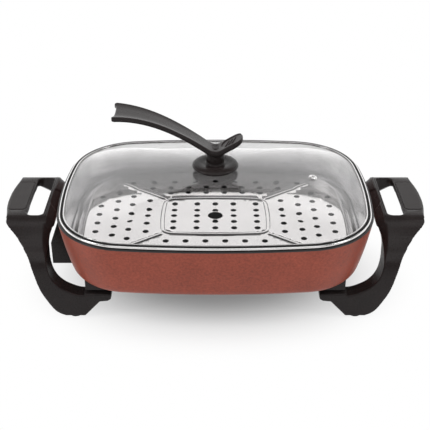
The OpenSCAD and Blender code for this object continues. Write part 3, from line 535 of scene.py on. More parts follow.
def make_pan():
    section = pan_section()
    rings = [bow_ring(inset, z) for inset, z, _ in section]
    verts, faces = joined([rings])
    coats = {"outside": COPPER, "lip": LIP_BLACK_AND_SHADE, "inside": INSIDE, "under": UNDER_COAT,
             "floor": FLOOR_COAT_AND_SHADE}
    zones = list(coats)
    slots = [zones.index(zone) for _, _, zone in section[:-1] for _ in rings[0]]
    ends = [zones.index("under"), zones.index("floor")]
    obj = mesh_object("pan_body", verts, faces, coats.values(), slots + ends)
    return dress(obj, "base", "pan_metal", "pan")


# Steam rack

RACK_OUT = LEDGE_OUT + RACK_PLAY
RACK_TOP = LEDGE_Z + LIFT_GAP + RACK_T
RACK_FIELD = RACK_TOP + RACK_RISE
SHOULDER_OUT = RACK_OUT + RACK_FLANGE
SHOULDER_IN = SHOULDER_OUT + RACK_SHOULDER
FIELD_EDGE = SHOULDER_IN + 3


def rack_holes():
    """[x, y, diameter] of every hole in the rack."""
    small = STEAM_HOLE_D
    across = (PANEL_LEN/2 - 12, 24.5)
    holes = [(0, 0, MIDDLE_HOLE_D)]
    holes += [(x, row*PANEL_ROW, small) for x in (-across[0], -across[1], 0, across[1], across[0])
              for row in range(-2, 3) if x or row]
    columns = ((23, -42, 21, 5), (46, -59, 22.4, 6), (66, -50.5, 22.4, 6), (88, -64, 22.6, 6))
    rows = ((19, 25.2, 6, 0), (36, 25.2, 8, 4), (53, 29, 9, 9))
    for side in (-1, 1):
        for gap, first, pitch, count in columns:
            holes += [(side*(PANEL_LEN/2 + gap), first + i*pitch, small) for i in range(count)]
        for gap, pitch, count, sag in rows:
            for u in np.linspace(-1, 1, count):
                holes.append((u*pitch*(count - 1)/2, side*(PANEL_WID/2 + gap - sag*u*u), small))
    return holes


def panel_distance(x, y):
    """Distance of points from the centre panel's rounded, bowed outline, less than 0 inside."""
    radius = PANEL_CORNER
    dx = np.abs(x) + y*y/(2*PANEL_BOW[1]) - PANEL_LEN/2 + radius
    dy = np.abs(y) + x*x/(2*PANEL_BOW[0]) - PANEL_WID/2 + radius
    return np.hypot(np.maximum(dx, 0), np.maximum(dy, 0)) + np.minimum(np.maximum(dx, dy), 0) - radius


def rib_distance(x, y):
    """Distance from the nearest pressed rib's middle line."""
    turn = math.radians(RIB_TURN)
    px, py = np.abs(x) - PANEL_LEN/2 - RIB_START[0], np.abs(y) - PANEL_WID/2 - RIB_START[1]
    along = np.clip(px*math.cos(turn) + py*math.sin(turn), 0, RIB_LEN)
    diagonal = np.hypot(px - along*math.cos(turn), py - along*math.sin(turn))
    return np.minimum(np.abs(panel_distance(x, y) - RIB_WID/2), diagonal)


def rack_height(x, y):
    """Height of the field's top, with the pressed ribs and a collar at the middle hole."""
    u = np.clip((RIB_EDGE - rib_distance(x, y))/RIB_FLANK, 0, 1)
    collar = np.clip(1 - np.abs(np.hypot(x, y) - MIDDLE_HOLE_D/2 - 1.5)/2.5, 0, 1)
    return RACK_FIELD + RIB_TALL*(u*u*(3 - 2*u) + 0.6*collar**2*(3 - 2*collar))


def ring_points(x, y, r, n):
    """Points round a circle."""
    a = np.linspace(0, 2*math.pi, n, endpoint=False)
    return np.column_stack([x + r*np.cos(a), y + r*np.sin(a)])


def rack_field_points(holes):
    """Plain points of the field: a grid, denser at the ribs, clear of the holes and inside the edge."""
    turn = math.radians(RIB_TURN)
    lines = []
    flank = (0, 0.55, 1.15, 1.75)
    panel = (PANEL_LEN/2, PANEL_WID/2, *PANEL_BOW, PANEL_CORNER)
    for off in [-RIB_EDGE + u for u in flank] + [0] + [RIB_EDGE - u for u in flank[::-1]]:
        lines.append(bow(panel, -RIB_WID/2 - off, (40, 10, 56)))
        t = np.linspace(-1, RIB_LEN + 1, 90)
        x = PANEL_LEN/2 + RIB_START[0] + t*math.cos(turn) - off*math.sin(turn)
        y = PANEL_WID/2 + RIB_START[1] + t*math.sin(turn) + off*math.cos(turn)
        lines += [np.column_stack([sx*x, sy*y]) for sx in (-1, 1) for sy in (-1, 1)]
    gx, gy = np.meshgrid(np.arange(-180, 181, 7.0), np.arange(-132, 133, 7.0))
    net = np.column_stack([gx.ravel(), gy.ravel()])
    net = net[rib_distance(net[:, 0], net[:, 1]) > RIB_WID/2 + 1.5]
    points = np.concatenate(lines + [net])
    for x, y, d in holes:
        points = points[np.hypot(points[:, 0] - x, points[:, 1] - y) > d/2 + 1.6]
    inner = bow(RIM, FIELD_EDGE + 2)
    angle = np.arctan2(inner[:, 1], inner[:, 0])
    order = np.argsort(angle)
    bearing = np.arctan2(points[:, 1], points[:, 0])
    reach = np.interp(bearing, angle[order], np.hypot(*inner[order].T), period=2*math.pi)
    return points[np.hypot(points[:, 0], points[:, 1]) < reach]


def rack_field(holes):
    """Points and faces of the perforated, ribbed field inside the rack's shoulder."""
    few, many = 22, 44
    counts = [many if d > STEAM_HOLE_D else few for _, _, d in holes]
    loops = [bow(RIM, FIELD_EDGE)] + [ring_points(x, y, d/2, n) for (x, y, d), n in zip(holes, counts)]
    soft = [ring_points(x, y, d/2 + 0.8, n) for (x, y, d), n in zip(holes, counts)]
    points = np.concatenate(loops + soft + [rack_field_points(holes)])
    lines, first = [], 0
    for loop in loops:
        n = len(loop)
        lines += [(first + i, first + (i + 1) % n) for i in range(n)]
        first += n
    made = delaunay_2d_cdt([Vector(p) for p in points], lines, [], 0, 1e-4)
    flat = np.array([tuple(v) for v in made[0]])
    centres = np.array([flat[list(f)].mean(0) for f in made[2]])
    keep = np.ones(len(centres), bool)
    for x, y, d in holes:
        keep &= np.hypot(centres[:, 0] - x, centres[:, 1] - y) > 0.495*d
    verts = [tuple(p) for p in np.column_stack([flat, rack_height(flat[:, 0], flat[:, 1])])]
    return verts, [tuple(f) for f, k in zip(made[2], keep) if k]


def rack_edge():
    """Rings of the flange and the shoulder, from the outside in."""
    low = RACK_TOP
    shoulder = smooth_curve([(SHOULDER_OUT - 1, low + 0.1), (SHOULDER_OUT + 1, low + 1),
                             (SHOULDER_IN - 1.4, RACK_FIELD - 0.9),
                             (SHOULDER_IN + 0.6, RACK_FIELD - 0.1)], 5)
    section = [(RACK_OUT + 0.1, low - 0.6), (RACK_OUT, low - 0.2), (RACK_OUT + 0.4, low),
               (RACK_OUT + 3, low), (SHOULDER_OUT - 2, low), *shoulder,
               (SHOULDER_IN + 1.6, RACK_FIELD), (FIELD_EDGE, RACK_FIELD)]
    return [bow_ring(inset, z) for inset, z in section]


def make_rack():
    verts, faces = rack_field(rack_holes())
    rings = rack_edge()
    faces += loft(rings, first=len(verts))
    verts += [tuple(p) for r in rings for p in r]
    obj = mesh_object("steam_rack_sheet", verts, faces, [RACK_STEEL], sharp=60)
    bm = bmesh.new()
    bm.from_mesh(obj.data)
    bmesh.ops.remove_doubles(bm, verts=bm.verts, dist=2e-6)
    up = sum(f.normal.z*f.calc_area() for f in bm.faces)
    if up < 0:
        bmesh.ops.reverse_faces(bm, faces=bm.faces)
    bm.to_mesh(obj.data)
    bm.free()
    sheet = obj.modifiers.new("sheet", "SOLIDIFY")
    sheet.thickness = RACK_T*MM
    sheet.offset = -1
    applied(obj)
    obj.data.set_sharp_from_angle(angle=math.radians(75))
    return dress(obj, "rack", "bright_steel", "steam_rack")


# Lid

DOME_DROP = DOME_TALL - GLASS_EDGE_Z
INNER_HALF = RIM[0] - LID_RIM_IN
GLASS_REACH = INNER_HALF - 24
EDGE_SLOPE = 2*DOME_DROP/GLASS_REACH
GLASS_DROP = GLASS_T*math.hypot(1, EDGE_SLOPE)
GROOVE = LIP_IN + LID_PLAY + LID_SHEET


def glass_z(t):
    """Height of the dome's top at a share of the way from its middle to the rim."""
    return RIM_Z + DOME_TALL - DOME_DROP*t*t


def glass_ring(t):
    """A ring of the dome: round in the middle, scaled further out, and drawn in near the rim."""
    start, span, middle = 0.55, 0.4, 0.14
    u = min(max((t - start)/span, 0), 1)
    w = u*u*(3 - 2*u)
    scaled = t*bow(RIM, LID_RIM_IN)
    drawn = bow(RIM, LID_RIM_IN + (1 - max(t, start))*GLASS_REACH)
    round_share = max(0.0, 1 - t/middle)
    ring = (1 - w)*scaled + w*drawn
    circle = ring/np.linalg.norm(ring, axis=1)[:, None]*t*RIM[1]
    return (1 - round_share)*ring + round_share*circle


def make_glass():
    hole = (KNOB_BOLT_D + 4)/2/RIM[1]
    last = 1 + (LID_RIM_IN - GROOVE - LIFT_GAP)/GLASS_REACH
    steps = np.concatenate([[hole], np.linspace(0.05, 1, 36), [last]])
    top = [at_height(glass_ring(t), glass_z(t)) for t in steps]
    under = [r - [0, 0, GLASS_DROP] for r in top]
    rings = top + under[::-1]
    verts = [p for r in rings for p in r]
    obj = mesh_object("lid_dome", verts, loft(rings, closed=True), [GLASS], sharp=50)
    obj.visible_shadow = False
    return dress(obj, "lid", "lid_glass", "lid_glass")


def make_lid_rim():
    """A rolled bead, a dark rubber band that also paints the dark reflection in the rim's channel, and a
    flat band, with the channel for the glass behind them.
    """
    base, out = RIM_Z - LID_RIM_OUT, -LID_RIM_OUT
    crown = base + LID_RIM_TALL

    def glass_at(inset):
        return RIM_Z + GLASS_EDGE_Z + EDGE_SLOPE*(inset - LID_RIM_IN)

    def under(inset):
        return glass_at(inset) - GLASS_DROP - LIFT_GAP

    bead = smooth_curve([(out + 0.5, base), (out + 0.12, base + 0.5), (out, base + 1.5),
                         (out + 0.3, crown - 0.7), (out + 1.1, crown), (out + 1.7, crown - 0.1),
                         (out + 2.2, crown - 0.6)], 4)
    gasket_and_painted_reflection = [(out + 2.3, crown - 0.6), (out + 2.45, crown + 0.1), (out + 2.9, crown + 0.4),
              (out + 4.3, crown + 0.4), (out + 4.85, crown + 0.1), (out + 5.05, crown - 0.8)]
    band_top = glass_at(LID_RIM_IN) + LIFT_GAP + LID_SHEET
    band = smooth_curve([(out + 5.15, band_top - 0.8), (out + 5.3, band_top - 0.25),
                         (out + 5.8, band_top - 0.02), (LID_RIM_IN - 0.4, band_top - 0.05),
                         (LID_RIM_IN - 0.05, band_top - 0.3),
                         (LID_RIM_IN, glass_at(LID_RIM_IN) + LIFT_GAP)], 4)
    skirt = LIP_IN + LID_PLAY
    channel = [(GROOVE, glass_at(GROOVE) + LIFT_GAP), (GROOVE, under(GROOVE)),
               (LID_RIM_IN, under(LID_RIM_IN)), (LID_RIM_IN, under(LID_RIM_IN) - LID_SHEET),
               (GROOVE, under(GROOVE) - LID_SHEET), (skirt, under(GROOVE) - LID_SHEET), (skirt, base)]
    rings = [bow_ring(*p) for p in [*bead, *gasket_and_painted_reflection, *band, *channel]]
    verts = [p for r in rings for p in r]
    # Painted reflection: the black rubber band between bead and flat band also stands in for the dark
    # reflection in the rim's channel.
    dark = range(len(bead) - 1, len(bead) + len(gasket_and_painted_reflection))
    slots = [int(k in dark) for k in range(len(rings)) for _ in rings[0]]
    obj = mesh_object("lid_rim_band", verts, loft(rings, closed=True), [RIM_STEEL, RUBBER], slots, sharp=55)
    return dress(obj, "lid", "bright_steel", "lid_rim")


# Knob with its stand arm

FOOT_Z = glass_z(0) + SEAL_T + SEAT_GAP
FOOT_TOP = FOOT_Z + KNOB_TALL
BEND_Z = FOOT_TOP + NECK_TALL + ARM_T/2


def make_knob_foot():
    r, neck, bore = KNOB_D/2, NECK_D/2, 3.4
    crown = smooth_curve([(r - 6, 0.9), (r - 2, 2.1), (r, 4.7), (r - 1.3, 7.2), (r - 5, 8.7), (r - 10, 8.9),
                          (neck + 3.4, 8.3), (neck + 1.2, 8.3)], 6)
    profile = [(bore, 0), (r - 9, 0), (r - 8.6, 0.6), (r - 7, 0.7), *crown, (neck + 0.2, 8.6),
               (neck - 0.2, 9.4), (neck - 0.2, KNOB_TALL - 0.3), (neck - 0.5, KNOB_TALL), (bore, KNOB_TALL)]
    rings = lathe([(a, FOOT_Z + z) for a, z in profile])
    verts = [p for k in rings for p in k]
    obj = mesh_object("knob_foot_disc", verts, loft(rings, closed=True), [BLACK], sharp=50)
    return dress(obj, "lid", "black_plastic", "knob_foot")


def arm_line():
    """Middle line of the arm and its tail in X and Z, from past the tip to past the tail."""
    bend = np.array([BEND_X, BEND_Z])
    arm = bezier([bend, (-0.33*ARM_REACH, BEND_Z + 0.58*ARM_CLIMB),
                  (-0.64*ARM_REACH, BEND_Z + 0.99*ARM_CLIMB), (-ARM_REACH, BEND_Z + ARM_CLIMB)], 48)[::-1]
    tail = bezier([bend, (0.3*TAIL_REACH, BEND_Z + 0.32*TAIL_CLIMB),
                   (0.64*TAIL_REACH, BEND_Z + 0.68*TAIL_CLIMB), (TAIL_REACH, BEND_Z + TAIL_CLIMB)], 32)
    round_off = 11.0
    arm = arm[np.linalg.norm(arm - bend, axis=1) > round_off]
    tail = tail[np.linalg.norm(tail - bend, axis=1) > round_off]
    t = np.linspace(0, 1, 13)[1:-1, None]
    corner = (1 - t)**2*arm[-1] + 2*t*(1 - t)*bend + t**2*tail[0]
    return np.concatenate([[10*arm[0] - 9*arm[1]], arm, corner, tail, [10*tail[-1] - 9*tail[-2]]])


def line_field(x, z, line):
    """For points in X and Z: height over a line, and distance along it from where it crosses X = 0."""
    nearest, height, along = np.full(x.shape, 1e9), np.zeros(x.shape), np.zeros(x.shape)
    lengths = np.concatenate([[0], np.cumsum(np.linalg.norm(np.diff(line, axis=0), axis=1))])
    middle = np.interp(0, line[:, 0], lengths)
    for a, b, start in zip(line[:-1], line[1:], lengths):
        length = np.linalg.norm(b - a)
        du, dv = (b - a)/length
        t = np.clip((x - a[0])*du + (z - a[1])*dv, 0, length)
        away = np.hypot(x - a[0] - t*du, z - a[1] - t*dv)
        closer = away < nearest
        nearest = np.where(closer, away, nearest)
        height = np.where(closer, away*np.sign((z - a[1])*du - (x - a[0])*dv), height)
        along = np.where(closer, start + t - middle, along)
    return height, along


def arm_plan():
    """Outline from above: the arm widens towards a notched tip, and the tail's end is rounded."""
    r, corner = ARM_WID/2, 11.0
    turn = np.linspace(0, math.pi/2, 13)
    end = np.column_stack([TAIL_REACH - corner + corner*np.cos(turn), r - corner + corner*np.sin(turn)])
    end = np.concatenate([end[::-1]*[1, -1], end])
    share = np.linspace(0, 1, 16)
    side = np.column_stack([-NECK_D/2 - share*(ARM_REACH - NECK_D/2 - 3.5),
                            r + (ARM_TIP_WID/2 - r)*(0.55*share + 0.45*share**2)])
    half = ARM_TIP_WID/2
    prong = [(-ARM_REACH + 1.6, half - 0.5), (-ARM_REACH + 0.4, half - 1.6), (-ARM_REACH, half - 2.8),
             (-ARM_REACH + 0.4, half - 4.0), (-ARM_REACH + 1.3, half - 4.9)]
    notch = [(-ARM_REACH + (TIP_NOTCH - 2)*(1 - 0.4*(u/17.0)**4), u) for u in np.linspace(17.5, 0, 10)]
    upper = np.array([*side, *prong, *notch])
    return np.concatenate([end, upper, upper[-2::-1]*[1, -1]])


def arm_field(x, y, z):
    """The arm with its hollow, ribbed tail and groove for the cap, and the neck."""
    flat_x, flat_z = x[:, 0], z[0]
    high, along = [a[:, None] for a in line_field(flat_x + 0*flat_z, flat_z + 0*flat_x, arm_line())]
    plan = outline_field(x[..., 0], y[..., 0], arm_plan())[:, :, None]
    towards_tip = np.clip((-x - NECK_D/2)/(ARM_REACH - NECK_D/2), 0, 1)
    across = np.clip(2*y/(ARM_WID + (ARM_TIP_WID - ARM_WID)*towards_tip), -1, 1)
    hollow = 1.8*np.clip((-along - 10)/45, 0, 1)*(1 - across**4)
    recess = box_field(along - 26, y, 16, ARM_WID/2 - 2.6, ARM_WID/2 - 2.7)
    ribs = np.minimum.reduce([box_field(along - 23 - 4.8*k - 0.5*y, y, 1.0, 5.4, 0.9) for k in (-1, 0, 1)])
    lowered = hollow + 1.2*np.clip(0.5 - recess/0.9, 0, 1) - 1.1*np.clip(0.6 - ribs/0.8, 0, 1)
    lowered = lowered + 0.8*np.clip(1 - np.abs(np.hypot(along, y) - CAP_D/2 - 0.4)/0.8, 0, 1)
    strap = meet(np.maximum(high - ARM_T/2 + lowered, -ARM_T/2 - high), plan, 1.6)
    neck = np.maximum(np.hypot(x, y) - NECK_D/2 + 0.2, np.maximum(z - BEND_Z, FOOT_TOP + SEAT_GAP - z))
    return merge(strap, neck, 1.5)


def make_stand_arm():
    low, step = (-ARM_REACH - 3, -ARM_TIP_WID/2 - 3, FOOT_TOP - 2), 0.5
    axes = grid(low, (TAIL_REACH + 3, ARM_TIP_WID/2 + 3, BEND_Z + ARM_CLIMB + 7), step)
    points, quads = field_mesh(arm_field(*axes), low, step)
    obj = mesh_object("stand_arm_body", points, quads.tolist(), [BLACK], sharp=180)
    lighter(obj, 0.35)
    return dress(obj, "lid", "black_plastic", "stand_arm")


def make_arm_cap():
    """The round cap over the bolt, in the bend."""
    line = arm_line()
    top = np.interp(0, line[:, 0], line[:, 1]) + ARM_T/2
    r = CAP_D/2 - 0.2
    rings = lathe([(r, top - 2), (r, top + 0.1), (r - 0.3, top + 0.35), (r - 1.0, top + 0.45),
                   (0.62*r, top + 0.4), (0.56*r, top + 0.1), (0.46*r, top + 0.1), (0.4*r, top + 0.4),
                   (0.2, top + 0.45)], 48)
    verts, faces = joined([rings])
    return dress(mesh_object("bend_cap", verts, faces, [GRIP]), "lid", "black_plastic", "arm_cap")


# Frames: a leg's front and side outlines, the handle's plate and the bar by the pan run into one moulding

def leg_outlines():
    """A leg from the front and from the side, and what lies behind its front face's edges and that face.

    Outlines from the front are measured outwards from the rim's end.
    """
    top, foot, beam, under = HANDLE_TOP, PAD_TALL, BEAM_TOP, BEAM_TOP - BEAM_T
    steps, half, back = 14, HANDLE_WID/2, LEG_Y + LEG_WID/2
    outer = smooth_curve([(66, top - 0.5), (68.3, top - 3), (68, top - 6.5), (65.5, top - 10),
                          (61.6, top - 14), (56.3, top - 19.5), (49.5, top - 27), (43.3, top - 34),
                          (39.3, top - 39), (36.7, top - 44.5), (34.4, top - 52), (31.9, beam + 21),
                          (28.2, beam + 8), (23, beam - 6.3), (11.8, beam - 27), (3.8, foot + 4.2),
                          (-4, foot)], steps)
    arm = [(-29, foot), (-49, under - 1), (-59, under), (-63, under + 2.5), (-64, under + 6), (-64, beam),
           (-30, beam)]
    inner = smooth_curve([(-30, beam - 8), (-22, beam - 7), (-13, beam - 3.5), (-4, beam + 1.5),
                          (5, beam + 9.5), (11, beam + 18.5), (14.3, beam + 30), (15.4, beam + 39),
                          (16, top - 34), (15, top - 26), (12, top - 18), (9.5, top - 10),
                          (9, top - 6)], steps)
    front = [(19, top), (52, top), *outer, *arm, *inner]
    edge = smooth_curve([(-29, beam - 6.5), (-14.2, beam - 1.6), (0.6, beam + 7.2), (11, beam + 21.6),
                         (14.4, beam + 31.7), (17, top - 38.3), (20.1, top - 29.4), (21.6, top - 20),
                         (21.4, top - 13), (20.2, top - 4), (19, top + 10)], steps)
    past_inner = [(-70, beam - 7), *edge, (150, top + 10), (150, -20), (-70, -20)]
    past_outer = [(-90, top + 30), (66, top + 30), *outer, (-90, foot)]
    face = smooth_curve([(half - 16, top), (half - 10.5, top - 0.6), (half - 5.5, top - 2.4),
                         (half - 1.8, top - 5), (half + 1.4, top - 8.8), (LEG_Y - 20, top - 20),
                         (LEG_Y - 12, top - 28.5), (LEG_Y - 3, top - 36), (LEG_Y + 4, top - 45),
                         (LEG_Y + 8.5, top - 59), (back, beam), (back, foot)], steps)
    arch = smooth_curve([(LEG_Y - LEG_WID/2, foot), (LEG_Y - LEG_WID/2, beam), (LEG_Y - 14, top - 67),
                         (LEG_Y - 25, top - 45), (LEG_Y - 38, top - 25), (LEG_Y - 52, top - 13),
                         (LEG_Y - 66, top - 7)], steps)
    side = [*face, *arch, (LEG_Y - 70, top)]
    behind = [*face, (back, foot - 40), (-200, foot - 40), (-200, top)]
    from_front = [np.array(p) + [RIM[0], 0] for p in (front, past_inner, past_outer)]
    return from_front + [np.array(p) for p in (side, behind)]


def handle_plan(x, y):
    """Signed distance from the handle's outline from above, whose outer side is bowed."""
    half = FRAME_OUT - SLOT_X + SLOT_WID
    outline = bow((half, HANDLE_WID/2, *HANDLE_BOW, HANDLE_WID/11), 0, (40, 30, 40))
    return outline_field(x, y, outline + [FRAME_OUT + 1 - half, 0])


def frame_field(x, y, z):
    """One frame without its pockets and holes: legs, handle plate and bar, less the handle's slot."""
    front, past_inner, past_outer, side, behind = leg_outlines()
    y = np.abs(y)
    front_view, inner_edge, outer_edge = [outline_field(x[:, 0], z[0], p)[:, None, :]
                                          for p in (front, past_inner, past_outer)]
    side_view, depth = [outline_field(y[0], z[0], p)[None] for p in (side, behind)]
    slant = 0.35 + 0.75*np.clip((z - BEAM_TOP)/50, 0, 1)
    soft = 0.7 + 1.7*np.clip((FRAME_IN + 1 - x)/12, 0, 1)
    outside = (outer_edge - slant*depth)/np.sqrt(1 + slant**2)
    leg = meet(meet(front_view, side_view, soft), outside, 0.7)
    spread = 0.55 + 0.85*np.clip((z - HANDLE_TOP + 26)/14, 0, 1)
    bevel = (inner_edge + spread*depth)/np.sqrt(1 + spread**2)
    bevel = np.where(z > BEAM_TOP - 8, bevel, np.float32(-9))
    leg = meet(leg, bevel, 1.2)
    plan = handle_plan(x[..., 0], y[..., 0])[:, :, None]
    under = (4*plan + 5.6*(HANDLE_TOP - PLATE_T/2 - z))/6.9
    plate = meet(meet(plan, z - HANDLE_TOP, 6.0), under, 2.0)
    plate = np.maximum(meet(plate, HANDLE_TOP - PLATE_T - z, 1.5), FRAME_IN + 10 - x)
    low = HANDLE_TOP - BAR_TALL
    bar = [(FRAME_IN, low), (FRAME_IN + 12.5, low), (FRAME_IN + 14, HANDLE_TOP),
           (FRAME_IN + 10, HANDLE_TOP), (FRAME_IN, HANDLE_TOP - 11)]
    bar = outline_field(x[:, 0], z[0], bar)[:, None, :]
    bar = meet(meet(bar, y - HANDLE_WID/2 + 2, 1.6), bevel, 1.2)
    limit = np.maximum(np.maximum(z - HANDLE_TOP, depth), np.minimum(plan, outside))
    body = np.maximum(merge(merge(leg, plate, 5.0), bar, 2.5), limit)
    draft = 0.22*np.clip(HANDLE_TOP - PLATE_T - z, 0, 20)
    slot = box_field(x - SLOT_X - draft, y, SLOT_WID/2 + draft, SLOT_LEN/2, SLOT_CORNER)
    return meet(body, -np.where(z > BEAM_TOP, slot, np.float32(9)), 1.6)


def grip_field(x, y, z, body):
    """The grip panel: a strip of the handle's own surface, a little proud of it."""
    plan = np.maximum(handle_plan(x[..., 0], y[..., 0]) + 2.2, SLOT_X + SLOT_WID/2 + 2.4 - x[..., 0])
    plan = meet(plan, np.abs(y[..., 0]) - GRIP_LEN/2, 5.0)[:, :, None]
    return np.maximum(meet(plan, body - 0.4, 0.7), np.maximum(-body - 2.2, HANDLE_TOP - 7 - z))


def frame_body(x, y, z):
    """The whole moulding with the grip's pocket and the holes for screws and pads."""
    body = frame_field(x, y, z)
    body = np.maximum(body, 0.1 - grip_field(x, y, z, body))
    y = np.abs(y) - LEG_Y
    screw = np.hypot(x - SCREW_X, y)
    recess = np.maximum(screw - SCREW_D - 0.5, z - BEAM_TOP + BEAM_T - SCREW_RECESS)
    pad = np.maximum(np.hypot(x - FOOT_X, y) - PAD_D/4 - 0.2, z - 3*PAD_TALL)
    return np.maximum(body, -np.minimum(np.minimum(screw - SCREW_D/2 - 0.3, recess), pad))


def bead_rings(x, half, r):
    """A thin bead along the slot's inner edge, with drawn-in ends."""
    turn = np.linspace(0, 2*math.pi, 10, endpoint=False)
    across, up = r*np.cos(turn), r*np.sin(turn)
    rise = [(-half, 0.2), (-half + 0.5, 0.7), (-half + 1.5, 1)]
    spans = rise + [(-y, k) for y, k in rise[::-1]]
    return [np.column_stack([x + k*across, np.full(10, y), HANDLE_TOP - 0.25 + k*up]) for y, k in spans]


def make_frames():
    low, high = (SCREW_X - 12, -LEG_Y - 14, 0.0), (FRAME_OUT + 2, LEG_Y + 14, HANDLE_TOP + 2)
    step = 0.8
    points, quads = field_mesh(frame_body(*grid(low, high, step)), low, step)
    beads, bead_faces = joined([bead_rings(FRAME_IN + 10.6, 53, 0.8), bead_rings(FRAME_IN + 12.8, 49, 0.8)])
    verts = np.concatenate([points, beads])
    faces = quads.tolist() + [tuple(i + len(points) for i in f) for f in bead_faces]
    reach = GRIP_LEN/2 + 3
    low, high = (SLOT_X + 8.5, -reach, HANDLE_TOP - 11), (FRAME_OUT + 1, reach, HANDLE_TOP + 2.5)
    step = 0.5
    axes = grid(low, high, step)
    pad, pad_quads = field_mesh(grip_field(*axes, frame_field(*axes)), low, step)
    for side, sign in (("left", -1), ("right", 1)):
        obj = mesh_object(f"{side}_frame_moulding", verts*[sign, 1, 1], faces, [BLACK], sharp=180)
        lighter(obj, 0.3)
        dress(obj, "base", "black_plastic", f"{side}_frame")
        obj = mesh_object(f"{side}_grip_pad", pad*[sign, 1, 1], pad_quads.tolist(), [GRIP], sharp=180)
        lighter(obj, 0.3)
        dress(obj, "base", "grip_plastic", f"{side}_grip_panel")


# CAD nodes that stay: a weld, a small bevel and a material

def finish_node(name, material, bevel=0.35):
    obj = nodes[name]
    obj.data.materials.clear()
    obj.data.materials.append(material)
    if bevel:
        weld = obj.modifiers.new("weld", "WELD")
        weld.merge_threshold = 1e-6
        edge = obj.modifiers.new("edge", "BEVEL")
        edge.width = bevel*MM
        edge.segments = 2
        edge.limit_method = "ANGLE"
        edge.angle_limit = math.radians(35)
        edge.harden_normals = True


make_pan()
make_rack()
make_glass()
make_lid_rim()
make_knob_foot()
make_stand_arm()
make_arm_cap()
make_frames()
finish_node("leg_posts", BLACK, 0.8)
finish_node("foot_pads", RUBBER, 0.5)
finish_node("inlet_hood", BLACK, 0.6)
finish_node("vent_eyelet", RIM_STEEL, 0.2)
finish_node("terminal_plate", BOARD, 0.3)
finish_node("terminal_bushes", CERAMIC, 0.3)
finish_node("terminal_pins", NICKEL, 0.2)
finish_node("heating_element", SHEATH, 0)
for name in ("pan_bushes", "element_clips", "probe_sleeve", "inlet_screws", "leg_screws", "knob_washer",
             "knob_bolt"):
    finish_node(name, PLAIN_STEEL, 0.2)
for name in ("upper_seal", "lower_seal"):
    finish_node(name, RUBBER, 0.2)


# Studio: a white floor that keeps the shadow, soft lamps, a pale world and the photograph's camera

def seen_directly(tree):
    """1 for rays that should meet the white background: camera, glossy and transmission rays."""
    path = add_node(tree, "ShaderNodeLightPath").outputs
    seen = calc(tree, "MAXIMUM", path["Is Camera Ray"], path["Is Glossy Ray"])
    return calc(tree, "MAXIMUM", seen, path["Is Transmission Ray"])


def make_floor():
    """White further out, and a matt grey that keeps the shadow near the pan."""
    half = 6.0
    mesh = bpy.data.meshes.new("floor")
    corners = [(-half, -half, 0), (half, -half, 0), (half, half, 0), (-half, half, 0)]
    mesh.from_pydata(corners, [], [(0, 1, 2, 3)])
    floor = add_object("floor", mesh)
    floor.location.z = -0.3*MM
    mat = bpy.data.materials.new("floor")
    mat.use_nodes = True
    tree = mat.node_tree
    tree.nodes.clear()
    squeeze = add_node(tree, "ShaderNodeMapping")
    squeeze.inputs["Scale"].default_value = (0.8, 1.15, 0)
    length = add_node(tree, "ShaderNodeVectorMath", operation="LENGTH")
    plug(tree, squeeze.inputs["Vector"], add_node(tree, "ShaderNodeTexCoord").outputs["Object"])
    plug(tree, length.inputs[0], squeeze.outputs["Vector"])
    fade = map_range(tree, length.outputs["Value"], 0.06, 0.23, 0.18, 1.0, "SMOOTHSTEP")
    matt = add_node(tree, "ShaderNodeBsdfDiffuse")
    matt.inputs["Color"].default_value = (0.8, 0.8, 0.8, 1)
    white = add_node(tree, "ShaderNodeEmission")
    mix = add_node(tree, "ShaderNodeMixShader")
    parts = (calc(tree, "MULTIPLY", fade, seen_directly(tree)), matt.outputs[0], white.outputs[0])
    for socket, part in zip(mix.inputs, parts):
        plug(tree, socket, part)
    plug(tree, add_node(tree, "ShaderNodeOutputMaterial").inputs["Surface"], mix.outputs[0])
    mesh.materials.append(mat)


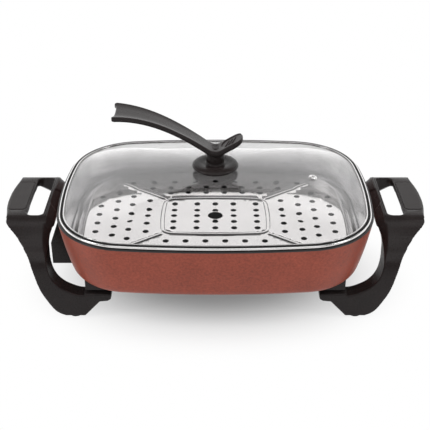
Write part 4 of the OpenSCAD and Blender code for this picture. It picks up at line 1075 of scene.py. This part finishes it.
def room_light(tree):
    """The room that metal and glass show: brightest low down, darker overhead, in front and high aside."""
    split = add_node(tree, "ShaderNodeSeparateXYZ")
    plug(tree, split.inputs[0], add_node(tree, "ShaderNodeTexCoord").outputs["Generated"])
    x, y, z = split.outputs

    def ramp(*ends):
        return map_range(tree, *ends, "SMOOTHSTEP")

    room = calc(tree, "MULTIPLY", ramp(y, -0.5, 0.25, 0.18, 1.0), ramp(z, 0.62, 0.86, 1.0, 0.15))
    room = calc(tree, "MULTIPLY", room, ramp(z, 0.05, 0.45, 1.6, 1.0))
    aside = ramp(calc(tree, "ABSOLUTE", x), 0.3, 0.55, 0.0, 1.0)
    corner = calc(tree, "MULTIPLY", aside, ramp(z, 0.5, 0.66, 0.0, 0.88))
    return calc(tree, "MULTIPLY", room, calc(tree, "SUBTRACT", 1.0, corner))


def make_world():
    """White for the camera, an even fill for matt surfaces, and the room for metal and glass."""
    world = bpy.data.worlds.new("studio")
    bpy.context.scene.world = world
    world.use_nodes = True
    tree = world.node_tree
    sky = tree.nodes["Background"]
    sky.inputs["Color"].default_value = (1, 1, 1, 1)

    def blend(factor, a, b):
        made = add_node(tree, "ShaderNodeMix", data_type="FLOAT")
        for place, value in ((0, factor), (2, a), (3, b)):
            plug(tree, made.inputs[place], value)
        return made.outputs[0]

    path = add_node(tree, "ShaderNodeLightPath").outputs
    mirrored = calc(tree, "MAXIMUM", path["Is Glossy Ray"], path["Is Transmission Ray"])
    shown = blend(mirrored, 0.3, room_light(tree))
    plug(tree, sky.inputs["Strength"], blend(path["Is Camera Ray"], shown, 1.0))


def make_lamp(name, place, size, power, mirrored=True):
    """A soft lamp towards the object. What is seen through the glass mirrors no lamp."""
    lamp = bpy.data.lights.new(name, "AREA")
    lamp.shape = "RECTANGLE"
    lamp.size, lamp.size_y = size
    lamp.energy = power
    obj = add_object(name, lamp)
    obj.location = place
    target = Vector((0, 0, 0.1))
    obj.rotation_euler = (target - Vector(place)).to_track_quat("-Z", "Y").to_euler()
    obj.visible_glossy = mirrored
    obj.visible_transmission = False


def make_camera():
    camera = bpy.data.cameras.new("camera")
    camera.sensor_width = SENSOR
    camera.lens = CAMERA_LENS
    obj = add_object("camera", camera)
    obj.location = CAMERA_PLACE
    obj.rotation_euler = (math.radians(CAMERA_TILT), 0, 0)
    bpy.context.scene.camera = obj


make_floor()
make_world()
make_lamp("left_lamp", (-1.45, -0.55, 1.25), (0.4, 1.2), 9)
make_lamp("right_lamp", (1.45, -0.55, 1.25), (0.4, 1.2), 7)
make_lamp("front_lamp", (0.0, -1.05, 1.3), (1.8, 1.2), 9)
make_lamp("top_lamp", (0.0, 0.0, 1.7), (1.6, 0.6), 13, mirrored=False)
make_camera()
bpy.context.scene.view_settings.view_transform = "Standard"
